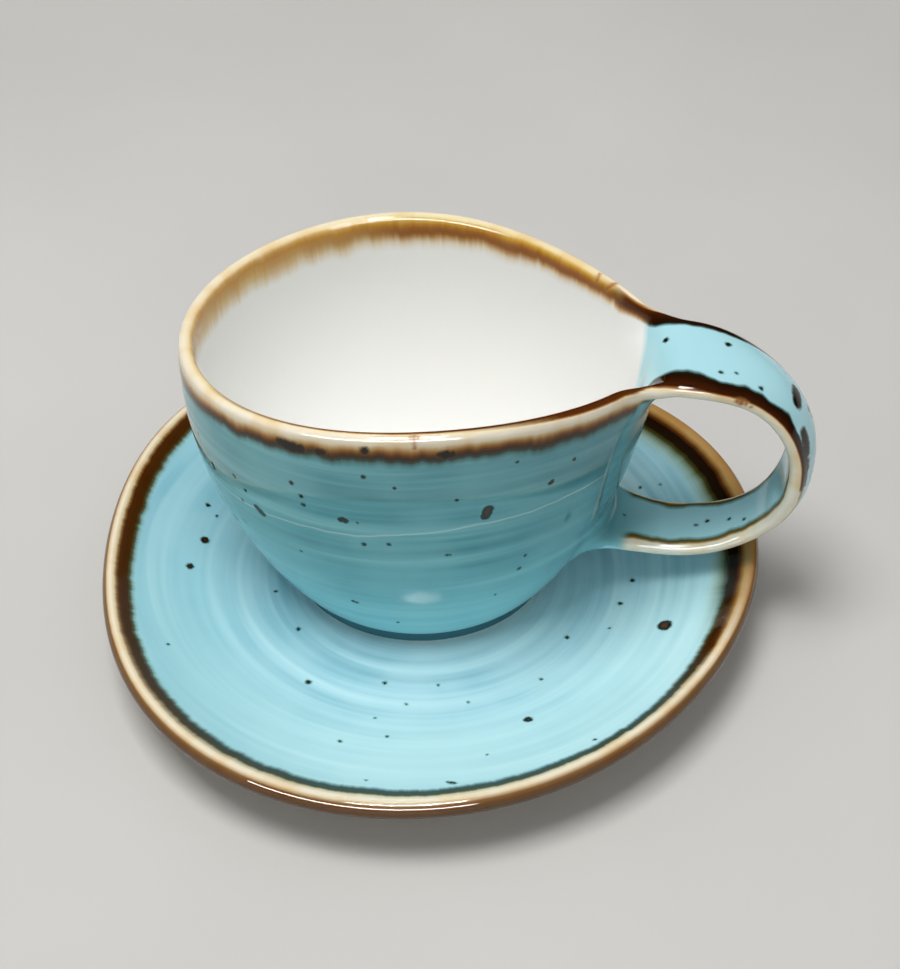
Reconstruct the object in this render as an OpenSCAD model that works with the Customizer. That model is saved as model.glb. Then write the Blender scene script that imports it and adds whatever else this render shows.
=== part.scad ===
// Cup and saucer in glazed porcelain. The cup has an egg-shaped mouth that is
// drawn out on one side into a broad strap, which loops down as the handle.
// The saucer is a shallow dish with an uneven round outline.
// The origin is the centre of the saucer's foot ring, on the table. +Z is up
// and +X runs towards the handle.

/* [Saucer] */
// Mean radius of the saucer's outer edge
saucer_r = 82; // [75:0.2:96]
// Height of the saucer's edge above the table
saucer_h = 18.6; // [14:0.2:24]
// Thickness of the saucer's floor
saucer_floor_t = 4.2; // [3:0.1:6]
// Thickness of the saucer's edge
saucer_edge_t = 5; // [3.6:0.1:6]
// How far the rounded edge reaches in from the outline
saucer_edge_round = 2.4; // [1.6:0.1:3]
// Outer radius of the saucer's foot ring
saucer_foot_r = 47; // [40:0.5:56]
// Width of the saucer's foot ring
saucer_foot_w = 4.5; // [3:0.1:7]
// Height of the saucer's foot ring
saucer_foot_h = 2.6; // [1.6:0.1:4]

/* [Bowl] */
// Mean radius of the lip's centre line
lip_r = 46.8; // [42:0.2:56]
// How far the lip is drawn out towards the strap
neck_len = 6.4; // [3:0.1:9]
// Mean height of the lip's centre line above the cup's standing plane
lip_h = 69.7; // [58:0.2:84]
// Rise of the lip from the blunt end to the middle, and again to the strap
lip_tilt = 1.7; // [0:0.1:4]
// Drop of both ends of the lip under its long sides
lip_saddle = 2; // [0:0.1:4]
// Thickness of the rounded lip
lip_t = 3.6; // [2.6:0.1:5]
// Thickness of the wall near the floor
wall_t = 3.8; // [2.8:0.1:5]
// Thickness of the cup's floor
floor_t = 4.2; // [3:0.1:7]
// Radius at which the wall starts to rise
base_r = 34.2; // [28:0.2:38]
// How far the base stands off the mouth's centre, towards the strap
base_shift = 1.6; // [0:0.1:3]
// How far the wall swells past the lip
belly = 0.6; // [0:0.1:2]
// How far the cup's foot ring stands inside the wall's start
cup_foot_inset = 0.8; // [0.6:0.1:6]
// Width of the cup's foot ring
cup_foot_w = 3.6; // [2.4:0.1:5]
// Height of the cup's foot ring
cup_foot_h = 3.4; // [1.6:0.1:4]

/* [Handle] */
// Thickness of the strap at its edges
strap_t = 3.8; // [2.8:0.1:5]
// Extra thickness along the middle of the strap's outer face
strap_crown = 2.4; // [0:0.1:3]
// Distance from the cup's axis to the loop's outermost centre line
strap_reach = 91.6; // [80:0.2:100]
// Distance from the cup's axis at which the strap starts to turn down
strap_bend = 62; // [59:0.5:66]
// Height of the loop's centre line from its top to its lowest point
strap_drop = 53.3; // [44:0.2:56]
// How far the strap's top lies under the lip beside it
strap_dip = 0.7; // [0:0.1:1.4]
// How much the strap climbs again to where it meets the wall
strap_climb = 3.4; // [0:0.1:6]
// Width of the strap where it leaves the lip
strap_neck_w = 31.6; // [26:0.2:34]
// Width of the strap on top of the loop
strap_top_w = 26.6; // [20:0.2:30]
// Width of the strap on the loop's shoulder
strap_shoulder_w = 21.4; // [16:0.2:26]
// Width of the strap on the loop's outer side
strap_side_w = 21; // [13:0.2:24]
// Width of the strap on the loop's lower bend
strap_low_w = 16.2; // [12:0.2:22]
// Width of the strap at its lowest point
strap_bottom_w = 17.6; // [13:0.2:24]
// Width of the strap where it joins the wall
strap_root_w = 22.4; // [16:0.2:26]
// Thickness of the strap where it joins the wall
strap_root_t = 6.4; // [4:0.1:8]

/* [Placement] */
// Place of the cup on the saucer, along X
cup_x = -3; // [-5:0.5:5]
// Place of the cup on the saucer, along Y
cup_y = 7; // [-8:0.5:8]

/* [Hidden] */

// Steps round a turned shape, and along it
round_steps = 72;
wall_steps = 14;
dish_steps = 10;
edge_steps = 6;
loop_steps = 36;
arm_steps = 5;
ring_fn = 96;

// Shares of the mean radius that make the outlines uneven
saucer_cos_shares = [0.011, 0.003, 0.016, -0.011];
saucer_sin_shares = [-0.038, 0.002, 0.033, 0.001];
lip_cos_shares = [-0.036, 0.102, 0.014, 0.009];
// Angle over which the neck fades, and the share of it that reaches the base
neck_spread = 25;
neck_keep_share = 0.3;
// Shares that shape the bowl's wall, the dish's slope and the strap's loop
wall_power_share = 2.2;
wall_ease_share = 0.76;
dish_power_share = 1.6;
under_power_share = 1.4;
loop_power_share = 0.93;
climb_power_share = 1.8;
belly_peak_share = 6.75;
ring_step_share = 1.5;

// Steps over which the strap's crown rises from the lip and dies away at the wall
crown_steps = 9;

// Clear floor round the cup's foot ring, and how far the strap is luted in
floor_margin = 3.2;
strap_embed = 1.5;
foot_bevel = 0.5;

glaze_blue = "#7cc4d2";
bisque_white = "#ddd6c8";

// The saucer
saucer_top = saucer_foot_h + saucer_floor_t;
cup_foot_r = base_r - cup_foot_inset;
saucer_floor_r = cup_foot_r + floor_margin + norm([cup_x + base_shift, cup_y]);
saucer_under_r = saucer_foot_r + foot_bevel;

function waves(p, shares, i = 0) =
    i >= len(shares) ? 0 : shares[i] * cos((i + 1) * p) + waves(p, shares, i + 1);

function sin_waves(p, shares, i = 0) =
    i >= len(shares) ? 0 : shares[i] * sin((i + 1) * p) + sin_waves(p, shares, i + 1);

function saucer_edge(p) =
    saucer_r * (1 + waves(p, saucer_cos_shares) + sin_waves(p, saucer_sin_shares));

function circle_ring(r, z, x = 0) =
    [for (i = [0:round_steps - 1]) let (p = 360 * i / round_steps) [x + r * cos(p), r * sin(p), z]];

// One ring of the dish: q is 0 at the flat middle and 1 at the edge
function dish_ring(r0, q, z) =
    [for (i = [0:round_steps - 1])
        let (p = 360 * i / round_steps)
        let (r = r0 + (saucer_edge(p) - saucer_edge_round - r0) * q)
        [r * cos(p), r * sin(p), z]];

// One ring of the rounded edge, from 90 on top to -90 underneath
function edge_ring(a) =
    [for (i = [0:round_steps - 1])
        let (p = 360 * i / round_steps)
        let (r = saucer_edge(p) - saucer_edge_round * (1 - cos(a)))
        [r * cos(p), r * sin(p), saucer_h - saucer_edge_t / 2 * (1 - sin(a))]];

function dish_z(q) = saucer_top + (saucer_h - saucer_top) * pow(q, dish_power_share);
function under_z(q) =
    saucer_foot_h + (saucer_h - saucer_edge_t - saucer_foot_h) * pow(q, under_power_share);

saucer_rings = concat(
    [circle_ring(saucer_under_r, saucer_foot_h)],
    [for (k = [1:dish_steps - 1]) dish_ring(saucer_under_r, k / dish_steps, under_z(k / dish_steps))],
    [for (k = [0:edge_steps]) edge_ring(-90 + 180 * k / edge_steps)],
    [for (k = [dish_steps - 1:-1:1]) dish_ring(saucer_floor_r, k / dish_steps, dish_z(k / dish_steps))],
    [circle_ring(saucer_floor_r, saucer_top)]
);

// The bowl, about its own axis, with its standing plane at zero
function turn(p) = p > 180 ? p - 360 : p;
function neck(p) = neck_len * exp(-pow(turn(p) / neck_spread, 2));
function lip_line(p) = lip_r * (1 + waves(p, lip_cos_shares)) + neck(p);
function lip_z(p) = lip_h + lip_tilt * cos(p) - lip_saddle * cos(2 * p);
function neck_fade(t) = (1 - neck_keep_share) * (1 - pow(t, 4));
function wall_line(p, t) = lip_line(p) - neck(p) * neck_fade(t);
function swell(t) =
    pow(1 - pow(1 - t, wall_power_share), wall_ease_share);
function swollen(r0, r1, t) =
    r0 + (r1 - r0) * swell(t) + belly * belly_peak_share * t * t * (1 - t);
function wall_shift(t) = base_shift * pow(1 - t, 2);
function outer_r(p, t) = swollen(base_r, wall_line(p, t) + lip_t / 2, t);
function inner_r(p, t) = swollen(base_r - wall_t, wall_line(p, t) - lip_t / 2, t);

bowl_floor = cup_foot_h + floor_t;

function outer_ring(t) =
    [for (i = [0:round_steps - 1])
        let (p = 360 * i / round_steps)
        let (r = outer_r(p, t))
        [wall_shift(t) + r * cos(p), r * sin(p), cup_foot_h + (lip_z(p) - cup_foot_h) * t]];

function inner_ring(t) =
    [for (i = [0:round_steps - 1])
        let (p = 360 * i / round_steps)
        let (r = inner_r(p, t))
        [wall_shift(t) + r * cos(p), r * sin(p), bowl_floor + (lip_z(p) - bowl_floor) * t]];

function lip_ring(a) =
    [for (i = [0:round_steps - 1])
        let (p = 360 * i / round_steps)
        let (r = lip_line(p) + lip_t / 2 * cos(a))
        [r * cos(p), r * sin(p), lip_z(p) + lip_t / 2 * sin(a)]];

function wall_t_at(k) = pow(k / wall_steps, ring_step_share);

bowl_rings = concat(
    [for (k = [0:wall_steps - 1]) outer_ring(wall_t_at(k))],
    [for (k = [0:edge_steps]) lip_ring(180 * k / edge_steps)],
    [for (k = [wall_steps - 1:-1:0]) inner_ring(wall_t_at(k))]
);

// The strap's path in the X-Z plane, from the lip round to the wall
strap_top_z = lip_z(0) - strap_dip;
strap_bottom_z = strap_top_z - strap_drop;
strap_root_z = strap_bottom_z + strap_climb;
strap_mid_z = strap_top_z - strap_drop / 2;
root_share = (strap_root_z - cup_foot_h) / (lip_z(0) - cup_foot_h);
strap_root_x = wall_shift(root_share) + outer_r(0, root_share) - strap_embed;
strap_start_x = lip_line(0) - strap_embed;

function signed_pow(v, e) = sign(v) * pow(abs(v), e);
function ease(u) = (1 - cos(180 * u)) / 2;
function mix(a, b, u) = a + (b - a) * ease(u);

// Each entry is the path's point, the strap's width and its thickness there
function arm_top(k) =
    let (u = k / arm_steps)
    [strap_start_x + (strap_bend - strap_start_x) * u, strap_top_z,
        mix(strap_neck_w, strap_top_w, u), strap_t];

function loop_w(u) =
    u > 45 ? mix(strap_shoulder_w, strap_top_w, (u - 45) / 45) :
    u > 0 ? mix(strap_side_w, strap_shoulder_w, u / 45) :
    u > -45 ? mix(strap_low_w, strap_side_w, (u + 45) / 45) :
    mix(strap_bottom_w, strap_low_w, (u + 90) / 45);

function loop_at(k) =
    let (u = 90 - 180 * k / loop_steps)
    [strap_bend + (strap_reach - strap_bend) * pow(abs(cos(u)), loop_power_share),
        strap_mid_z + strap_drop / 2 * signed_pow(sin(u), loop_power_share),
        loop_w(u), strap_t];

function arm_low(k) =
    let (u = k / arm_steps)
    [strap_bend + (strap_root_x - strap_bend) * u,
        strap_bottom_z + strap_climb * pow(u, climb_power_share),
        mix(strap_bottom_w, strap_root_w, u), strap_t + (strap_root_t - strap_t) * pow(u, 3)];

strap_path = concat(
    [for (k = [0:arm_steps - 1]) arm_top(k)],
    [for (k = [0:loop_steps]) loop_at(k)],
    [for (k = [1:arm_steps]) arm_low(k)]
);

function unit(v) = v / norm(v);
function path_xz(k) = [strap_path[k].x, strap_path[k].y];
function path_dir(k) =
    unit(path_xz(min(k + 1, len(strap_path) - 1)) - path_xz(max(k - 1, 0)));

// The strap's section as [across, out] pairs: round edges and a crowned outer face
function strap_section(w, t, crown) =
    let (h = t / 2)
    let (s = w / 2 - h)
    concat(
        [for (a = [-90:45:90]) [s + h * cos(a), h * sin(a)]],
        [for (q = [0.5, 0, -0.5]) [s * q, h + crown * (1 - q * q)]],
        [for (a = [90:45:270]) [-s + h * cos(a), h * sin(a)]],
        [for (q = [-0.5, 0, 0.5]) [s * q, -h]]
    );

function crown_at(k) =
    strap_crown * ease(min(1, k / crown_steps))
        * ease(min(1, (len(strap_path) - 1 - k) / crown_steps));

function strap_ring(k) =
    let (c = path_xz(k))
    let (d = path_dir(k))
    let (out = [-d.y, d.x])
    [for (q = strap_section(strap_path[k][2], strap_path[k][3], crown_at(k)))
        [c.x + out.x * q.y, q.x, c.y + out.y * q.y]];

strap_rings = [for (k = [0:len(strap_path) - 1]) strap_ring(k)];

// Closes a stack of rings into one solid, with a fan at each end
function middle(ring) = [for (a = [0:2]) [for (q = ring) q[a]] * [for (q = ring) 1] / len(ring)];

module skin(rings) {
    n = len(rings[0]);
    m = len(rings);
    points = concat([for (ring = rings) each ring], [middle(rings[0]), middle(rings[m - 1])]);
    first = n * m;
    sides = [for (k = [0:m - 2]) for (i = [0:n - 1])
        let (j = (i + 1) % n)
        each [[k * n + i, (k + 1) * n + i, (k + 1) * n + j], [k * n + i, (k + 1) * n + j, k * n + j]]];
    start = [for (i = [0:n - 1]) [first, i, (i + 1) % n]];
    end = [for (i = [0:n - 1]) [first + 1, (m - 1) * n + (i + 1) % n, (m - 1) * n + i]];
    polyhedron(points = points, faces = concat(sides, start, end), convexity = 8);
}

// A ring with bevelled edges at its ground face
module foot_ring(r, w, h) {
    rotate_extrude($fn = ring_fn)
        polygon([
            [r - w, h],
            [r - w, foot_bevel],
            [r - w + foot_bevel, 0],
            [r - foot_bevel, 0],
            [r, foot_bevel],
            [r, h]
        ]);
}

module on_saucer() {
    translate([cup_x, cup_y, saucer_top])
        children();
}

module saucer_plate() {
    color(glaze_blue)
        skin(saucer_rings);
}

module saucer_foot_ring() {
    color(bisque_white)
        foot_ring(saucer_foot_r, saucer_foot_w, saucer_foot_h);
}

module cup_bowl() {
    color(glaze_blue)
        on_saucer()
            skin(bowl_rings);
}

module cup_foot_ring() {
    color(bisque_white)
        on_saucer()
            translate([base_shift, 0, 0])
                foot_ring(cup_foot_r, cup_foot_w, cup_foot_h);
}

module cup_handle() {
    color(glaze_blue)
        on_saucer()
            skin(strap_rings);
}

saucer_plate();
saucer_foot_ring();
cup_bowl();
cup_foot_ring();
cup_handle();
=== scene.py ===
"""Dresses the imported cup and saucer: a glazed cup with its strap, a dished saucer and their bare foot rings.

Sizes are in millimetres, as on a maker's drawing, and become metres where a mesh or a material takes them.
"""

import logging
import math
from collections.abc import Callable
from dataclasses import dataclass, field
from enum import Enum

import bmesh
import bpy
from mathutils import Matrix, Vector, kdtree

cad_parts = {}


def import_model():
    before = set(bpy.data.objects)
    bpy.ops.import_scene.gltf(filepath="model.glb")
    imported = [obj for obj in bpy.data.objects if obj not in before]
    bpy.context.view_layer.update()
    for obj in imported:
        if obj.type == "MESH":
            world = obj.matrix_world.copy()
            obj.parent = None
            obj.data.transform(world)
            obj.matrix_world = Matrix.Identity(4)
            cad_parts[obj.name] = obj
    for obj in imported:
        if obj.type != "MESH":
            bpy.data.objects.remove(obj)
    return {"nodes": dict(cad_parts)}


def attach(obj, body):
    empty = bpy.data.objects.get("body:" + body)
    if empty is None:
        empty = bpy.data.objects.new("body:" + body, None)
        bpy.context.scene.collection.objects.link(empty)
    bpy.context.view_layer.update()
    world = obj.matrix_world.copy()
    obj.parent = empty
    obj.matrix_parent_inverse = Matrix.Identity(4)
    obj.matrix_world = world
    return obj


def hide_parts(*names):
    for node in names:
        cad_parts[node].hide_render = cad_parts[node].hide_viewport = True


LOG = logging.getLogger("cup_and_saucer")
MM = 0.001

# Smoothing draws a bead in by about a sixteenth, so it is drawn that much larger.
BEAD_GROWTH = 1.06
# Welding takes in points that are nearer together than this.
WELD_MM = 0.01
# On the bead itself a band keeps its drawn width, out to these distances from the crest.
INNER_BEAD_MM = 1.0
OUTER_BEAD_MM = 2.2
# The step inwards fades out over this distance down the outer face.
STEP_ROOM_MM = 3.5
# How far the colour ramps reach, from the crest and from a speck's rim.
EDGE_REACH_MM = 12.0
SPOT_REACH_MM = 2.0
# Streaks run across the edge: a pattern moves this slowly away from the crest.
STREAK = 0.08
# A speck melts into the glaze round it and looks smaller, so it is drawn larger.
SPECK_GROWTH = 1.12
# A ragged line sways this many times its measure, less of it near the crest and more farther off.
RAG_SPREAD = 4
RAG_DISTANCES_MM = (1.0, 4.5)
RAG_SHARES = (0.06, 0.5)
# The product of up * up * (1 - up) is 4 / 27 at its highest.
BULGE_PEAK = 4 / 27
# Between these values of the face a colour goes over from the outer bead's side to the inner one's.
FACE_TURNS = (-0.1, 0.1)

Node = bpy.types.Node
Socket = bpy.types.NodeSocket
Tree = bpy.types.NodeTree


class Face(Enum):
    """Which side of the crest a point of the glaze lies on, with the two beads beside the crest."""

    INNER = 1.0
    INNER_BEAD = 0.5
    CREST = 0.0
    OUTER_BEAD = -0.5
    OUTER = -1.0


class Tone(Enum):
    """How the cup's glaze breaks at an edge, in the order of CUP_EDGES; a value between two blends them."""

    GOLD = -1.0
    BROWN_GOLD = 0.0
    DARK_ON_WHITE = 1.0
    DARK_ON_TURQUOISE = 2.0
    OLIVE = 3.0
    FADED = 4.0


def deselect() -> None:
    """Leaves nothing selected, so that the next operator acts on its own piece alone."""
    if bpy.context.object and bpy.context.object.mode != "OBJECT":
        bpy.ops.object.mode_set(mode="OBJECT")
    bpy.ops.object.select_all(action="DESELECT")


def ease(share: float) -> float:
    """A smooth step from 0 to 1.

    Args:
        share: how far along the step, from 0 to 1.

    Returns:
        The eased share.
    """
    share = min(1.0, max(0.0, share))
    return (1 - math.cos(math.pi * share)) / 2


def mix(low: float, high: float, share: float) -> float:
    """Goes smoothly from one value to another.

    Args:
        low: the value at share 0.
        high: the value at share 1.
        share: how far along, from 0 to 1.

    Returns:
        The value between them.
    """
    return low + (high - low) * ease(share)


@dataclass(frozen=True)
class Outline:
    """An uneven round outline: a mean radius, and the shares of it that make waves round it."""

    radius: float
    cos_shares: tuple[float, ...]
    sin_shares: tuple[float, ...] = ()

    def at(self, angle: float) -> float:
        """The outline's radius in one direction.

        Args:
            angle: the direction from the centre, in radians.

        Returns:
            The radius, in millimetres.
        """
        swing = sum(share * math.cos(k * angle) for k, share in enumerate(self.cos_shares, 1))
        swing += sum(share * math.sin(k * angle) for k, share in enumerate(self.sin_shares, 1))
        return self.radius * (1 + swing)


class Clay:
    """A ring of clay in edit mode, which grows ring by ring as a pot does on the wheel."""

    def __init__(self, name: str, columns: int) -> None:
        """Starts the first ring.

        Args:
            name: the piece's name.
            columns: how many columns of faces go round the piece.
        """
        self.columns = columns
        deselect()
        bpy.ops.mesh.primitive_circle_add(vertices=columns, radius=MM, fill_type="NOTHING")
        self.obj = bpy.context.object
        self.obj.name = self.obj.data.name = name
        bpy.ops.object.mode_set(mode="EDIT")
        mesh = bmesh.from_edit_mesh(self.obj.data)
        for tag in ("column", "row", "section"):
            mesh.verts.layers.int.new(tag)
        for tag in ("face", "crest"):
            mesh.verts.layers.float.new(tag)
        column = mesh.verts.layers.int["column"]
        for i, vert in enumerate(mesh.verts):
            vert[column] = i
        self.rows = 0

    def tags(self) -> tuple:
        """Reaches into the piece as it is now.

        Returns:
            The edit mesh, and its column, row, section and face layers.
        """
        mesh = bmesh.from_edit_mesh(self.obj.data)
        ints = mesh.verts.layers.int
        return mesh, ints["column"], ints["row"], ints["section"], mesh.verts.layers.float["face"]

    def side(self, mesh: bmesh.types.BMesh, vert: bmesh.types.BMVert, face: Face) -> None:
        """Notes which side of the crest a point lies on, and whether it lies on the crest itself.

        Args:
            mesh: the edit mesh.
            vert: the point.
            face: its side.
        """
        floats = mesh.verts.layers.float
        vert[floats["face"]] = face.value
        vert[floats["crest"]] = 1.0 if face is Face.CREST else 0.0

    def ring(self, face: Face, place: Callable[[int], Vector]) -> int:
        """Lays the next ring of the pot, drawn up from the last one.

        Args:
            face: which side of the crest the ring lies on.
            place: gives the place of a column's point, in millimetres.

        Returns:
            The ring's row number.
        """
        if self.rows:
            bpy.ops.mesh.extrude_region_move()
        mesh, column, row, _, _ = self.tags()
        for vert in mesh.verts:
            if vert.select:
                vert.co = place(vert[column]) * MM
                vert[row] = self.rows
                self.side(mesh, vert, face)
        bmesh.update_edit_mesh(self.obj.data)
        self.rows += 1
        return self.rows - 1

    def close(self) -> None:
        """Draws the selected ring in to one point at its middle."""
        bpy.ops.mesh.extrude_region_move()
        bpy.ops.mesh.merge(type="CENTER")

    def close_base(self) -> None:
        """Draws the first ring, which is still open, in to one point at its middle."""
        row = self.tags()[2]
        self.pick(lambda vert: vert[row] == 0 and len(vert.link_faces) < 3)
        self.close()

    def off(self, column: int) -> int:
        """How many columns a column stands off column 0, either way round."""
        return (column + self.columns // 2) % self.columns - self.columns // 2

    def pick(self, wanted: Callable[[bmesh.types.BMVert], bool]) -> None:
        """Selects points.

        Args:
            wanted: says whether a point is to be selected.
        """
        bpy.ops.mesh.select_mode(type="VERT")
        bpy.ops.mesh.select_all(action="DESELECT")
        mesh = bmesh.from_edit_mesh(self.obj.data)
        for vert in mesh.verts:
            vert.select = wanted(vert)
        mesh.select_flush(True)
        bmesh.update_edit_mesh(self.obj.data)

    def window(self, rows: tuple[int, int], reach: int) -> None:
        """Cuts a window through the wall about column 0 and selects its border.

        Args:
            rows: the first and last row of its border.
            reach: how many columns the border stands off column 0.
        """
        mesh, column, row, section, _ = self.tags()

        def inside(vert: bmesh.types.BMVert) -> bool:
            """Whether a point lies in the window or on its border."""
            return rows[0] <= vert[row] <= rows[1] and abs(self.off(vert[column])) <= reach

        bpy.ops.mesh.select_mode(type="FACE")
        bpy.ops.mesh.select_all(action="DESELECT")
        for face in mesh.faces:
            face.select = all(inside(v) for v in face.verts)
        bmesh.update_edit_mesh(self.obj.data)
        bpy.ops.mesh.delete(type="FACE")
        bpy.ops.mesh.select_mode(type="VERT")
        mesh, column, row, section, _ = self.tags()
        across, tall = 2 * reach + 1, rows[1] - rows[0] - 1
        for vert in mesh.verts:
            vert.select = vert.is_boundary and inside(vert)
            if not vert.select:
                continue
            off = self.off(vert[column])
            if vert[row] == rows[1]:
                vert[section] = off + reach
            elif vert[row] == rows[0]:
                vert[section] = across + tall + reach - off
            elif off > 0:
                vert[section] = across + rows[1] - 1 - vert[row]
            else:
                vert[section] = 2 * across + tall + vert[row] - rows[0] - 1
        mesh.select_flush(True)
        bmesh.update_edit_mesh(self.obj.data)

    def draw_out(self, points: list[Vector], faces: list[Face]) -> None:
        """Draws the selected loop out to the next section of the strap.

        Args:
            points: the section's points, in millimetres.
            faces: which side of the crest each point lies on.
        """
        bpy.ops.mesh.extrude_region_move()
        mesh, _, row, section, _ = self.tags()
        for vert in mesh.verts:
            if vert.select:
                vert.co = points[vert[section]] * MM
                self.side(mesh, vert, faces[vert[section]])
                vert[row] = -1
        bmesh.update_edit_mesh(self.obj.data)

    def finish(self, levels: int) -> bpy.types.Object:
        """Welds and smooths the piece.

        Args:
            levels: how many times the faces are subdivided.

        Returns:
            The finished piece.
        """
        bpy.ops.mesh.select_all(action="SELECT")
        bpy.ops.mesh.remove_doubles(threshold=WELD_MM * MM)
        bpy.ops.mesh.normals_make_consistent(inside=False)
        bpy.ops.object.mode_set(mode="OBJECT")
        smooth = self.obj.modifiers.new("smooth", "SUBSURF")
        smooth.levels = smooth.render_levels = levels
        bpy.ops.object.modifier_apply(modifier=smooth.name)
        bpy.ops.object.shade_smooth()
        return self.obj


def between(stops: tuple[tuple[float, float], ...], where: float, eased: bool = False) -> float:
    """Reads a value off a line through given stops.

    Args:
        stops: pairs of place and value, in the order of the places.
        where: the place to read.
        eased: whether the line goes smoothly from stop to stop.

    Returns:
        The value there.
    """
    for (low, first), (high, last) in zip(stops, stops[1:]):
        if where <= high:
            share = max(0.0, where - low) / (high - low)
            return mix(first, last, share) if eased else first + (last - first) * share
    return stops[-1][1]


def srgb(code: str, cover: float = 1.0) -> tuple[float, float, float, float]:
    """Turns a colour as written into the linear one that a shader takes.

    Args:
        code: the sRGB colour, as #RRGGBB.
        cover: how much it hides what is under it.

    Returns:
        The linear red, green and blue, and the cover.
    """
    shares = [int(code[i:i + 2], 16) / 255 for i in (1, 3, 5)]
    red, green, blue = (s / 12.92 if s <= 0.04045 else ((s + 0.055) / 1.055) ** 2.4 for s in shares)
    return red, green, blue, cover


def add(tree: Tree, kind: str, inputs: dict | tuple = (), **settings: object) -> Node:
    """Adds a node with its settings and links.

    Args:
        tree: the material's nodes.
        kind: the node's kind, without its ShaderNode prefix.
        inputs: a value or another node's output for each input, in order, or by its name or number.
        settings: the node's own settings, and stops, the places and colours of a ramp.

    Returns:
        The node.
    """
    made = tree.nodes.new("ShaderNode" + kind)
    stops = settings.pop("stops", None)
    for name, value in settings.items():
        setattr(made, name, value)
    if stops:
        ramp = made.color_ramp
        while len(ramp.elements) < len(stops):
            ramp.elements.new(1.0)
        for element, (place, colour) in zip(ramp.elements, stops):
            element.position, element.color = place, colour
    for name, value in inputs.items() if isinstance(inputs, dict) else enumerate(inputs):
        if isinstance(value, Socket):
            tree.links.new(value, made.inputs[name])
        else:
            made.inputs[name].default_value = value
    return made


@dataclass(frozen=True)
class Coat:
    """One stop of a glaze's break: its distance inwards from the crest or out from a rim, colour, cover."""

    mm: float
    colour: str
    cover: float = 1.0


@dataclass(frozen=True)
class Speck:
    """A spot of iron burnt into the glaze: its place, and its radius."""

    x: float
    y: float
    z: float
    size: float


@dataclass(frozen=True)
class Break:
    """How the glaze breaks over one place of an edge.

    A band is that many times narrower than drawn, has a tone from the tables, and is stepped inwards.
    """

    narrow: float
    tone: float
    step_mm: float = 0.0


# By the distance out from a spot's rim: a speck of iron under glass, a bare blot, and a rusty tick.
SPECK_COATS = (
    Coat(-1.5, "#5A2E1A"), Coat(-0.8, "#40240E"), Coat(-0.35, "#161006"), Coat(-0.12, "#142622", 0.95),
    Coat(0.10, "#285456", 0.6), Coat(0.32, "#6FA8A4", 0.25), Coat(0.60, "#8FC0BE", 0.0),
)
BLOT_COATS = (
    Coat(-0.6, "#140802"), Coat(-0.15, "#1E1004", 0.95), Coat(0.2, "#42300E", 0.6),
    Coat(0.6, "#5A5A34", 0.0),
)
TICK_COATS = (
    Coat(-0.4, "#8A4418", 0.9), Coat(-0.05, "#9A5A24", 0.65), Coat(0.25, "#B88848", 0.3),
    Coat(0.7, "#D0AC70", 0.0),
)
# By the distance inwards from the crest. FADED leaves the glaze as it is, and NEAR_SIDE is the outer side
# that the first four tones of the cup share.
FADED = (Coat(-12.0, "#78ACA4", 0.0), Coat(12.0, "#78ACA4", 0.0))
NEAR_SIDE = (
    Coat(-7.4, "#5A8480", 0.0), Coat(-6.4, "#3C5A44", 0.5), Coat(-5.7, "#2A2A06", 0.9),
    Coat(-5.0, "#3A2000"), Coat(-4.3, "#643804"), Coat(-3.7, "#9A6A28"), Coat(-3.1, "#C4A470"),
    Coat(-2.4, "#E0D4B8"), Coat(-1.2, "#F0E8D6"),
)
CUP_EDGES = (
    NEAR_SIDE + (
        Coat(1.1, "#EAD8B0"), Coat(1.9, "#D0A258"), Coat(2.8, "#C48E30"), Coat(4.5, "#CA9A38", 0.95),
        Coat(6.5, "#D0AA4C", 0.8), Coat(8.3, "#D6BA66", 0.45), Coat(9.4, "#D8C484", 0.15),
        Coat(10.3, "#DCCC9C", 0.0),
    ),
    NEAR_SIDE + (
        Coat(1.1, "#EAD8A4"), Coat(1.9, "#D4AE54"), Coat(2.7, "#BC8418"), Coat(3.6, "#9C5E00"),
        Coat(4.6, "#8C4E00"), Coat(5.4, "#9A6200"), Coat(6.2, "#B27C14", 0.9), Coat(7.0, "#C49C40", 0.7),
        Coat(7.9, "#D2B66E", 0.42), Coat(9.0, "#DAC896", 0.18), Coat(10.3, "#E0D4B8", 0.0),
    ),
    NEAR_SIDE + (
        Coat(0.2, "#ECDEBE"), Coat(0.6, "#A87440"), Coat(1.1, "#5A2E10"), Coat(3.6, "#4A2004"),
        Coat(5.0, "#8E540E"), Coat(6.2, "#C4902E", 0.8), Coat(8.0, "#E2D0A0", 0.0),
    ),
    NEAR_SIDE + (
        Coat(0.8, "#ECDEB8"), Coat(1.15, "#98602A"), Coat(1.6, "#3E1C0A"), Coat(4.4, "#241004"),
        Coat(5.7, "#1C160A"), Coat(6.4, "#284440", 0.8), Coat(7.3, "#5F9A9C", 0.0),
    ),
    (
        Coat(-4.6, "#78ACA4", 0.0), Coat(-3.9, "#4F7A6A", 0.6), Coat(-3.2, "#4E4A1E"),
        Coat(-2.6, "#8A6A2E"), Coat(-2.1, "#E2DCC4"), Coat(-0.8, "#ECE8D8"), Coat(1.2, "#ECE6D0"),
        Coat(1.7, "#A08A4A"), Coat(2.4, "#4A4A1E"), Coat(3.1, "#4F7A6A", 0.5), Coat(3.9, "#78ACA4", 0.0),
    ),
    FADED,
)
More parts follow.
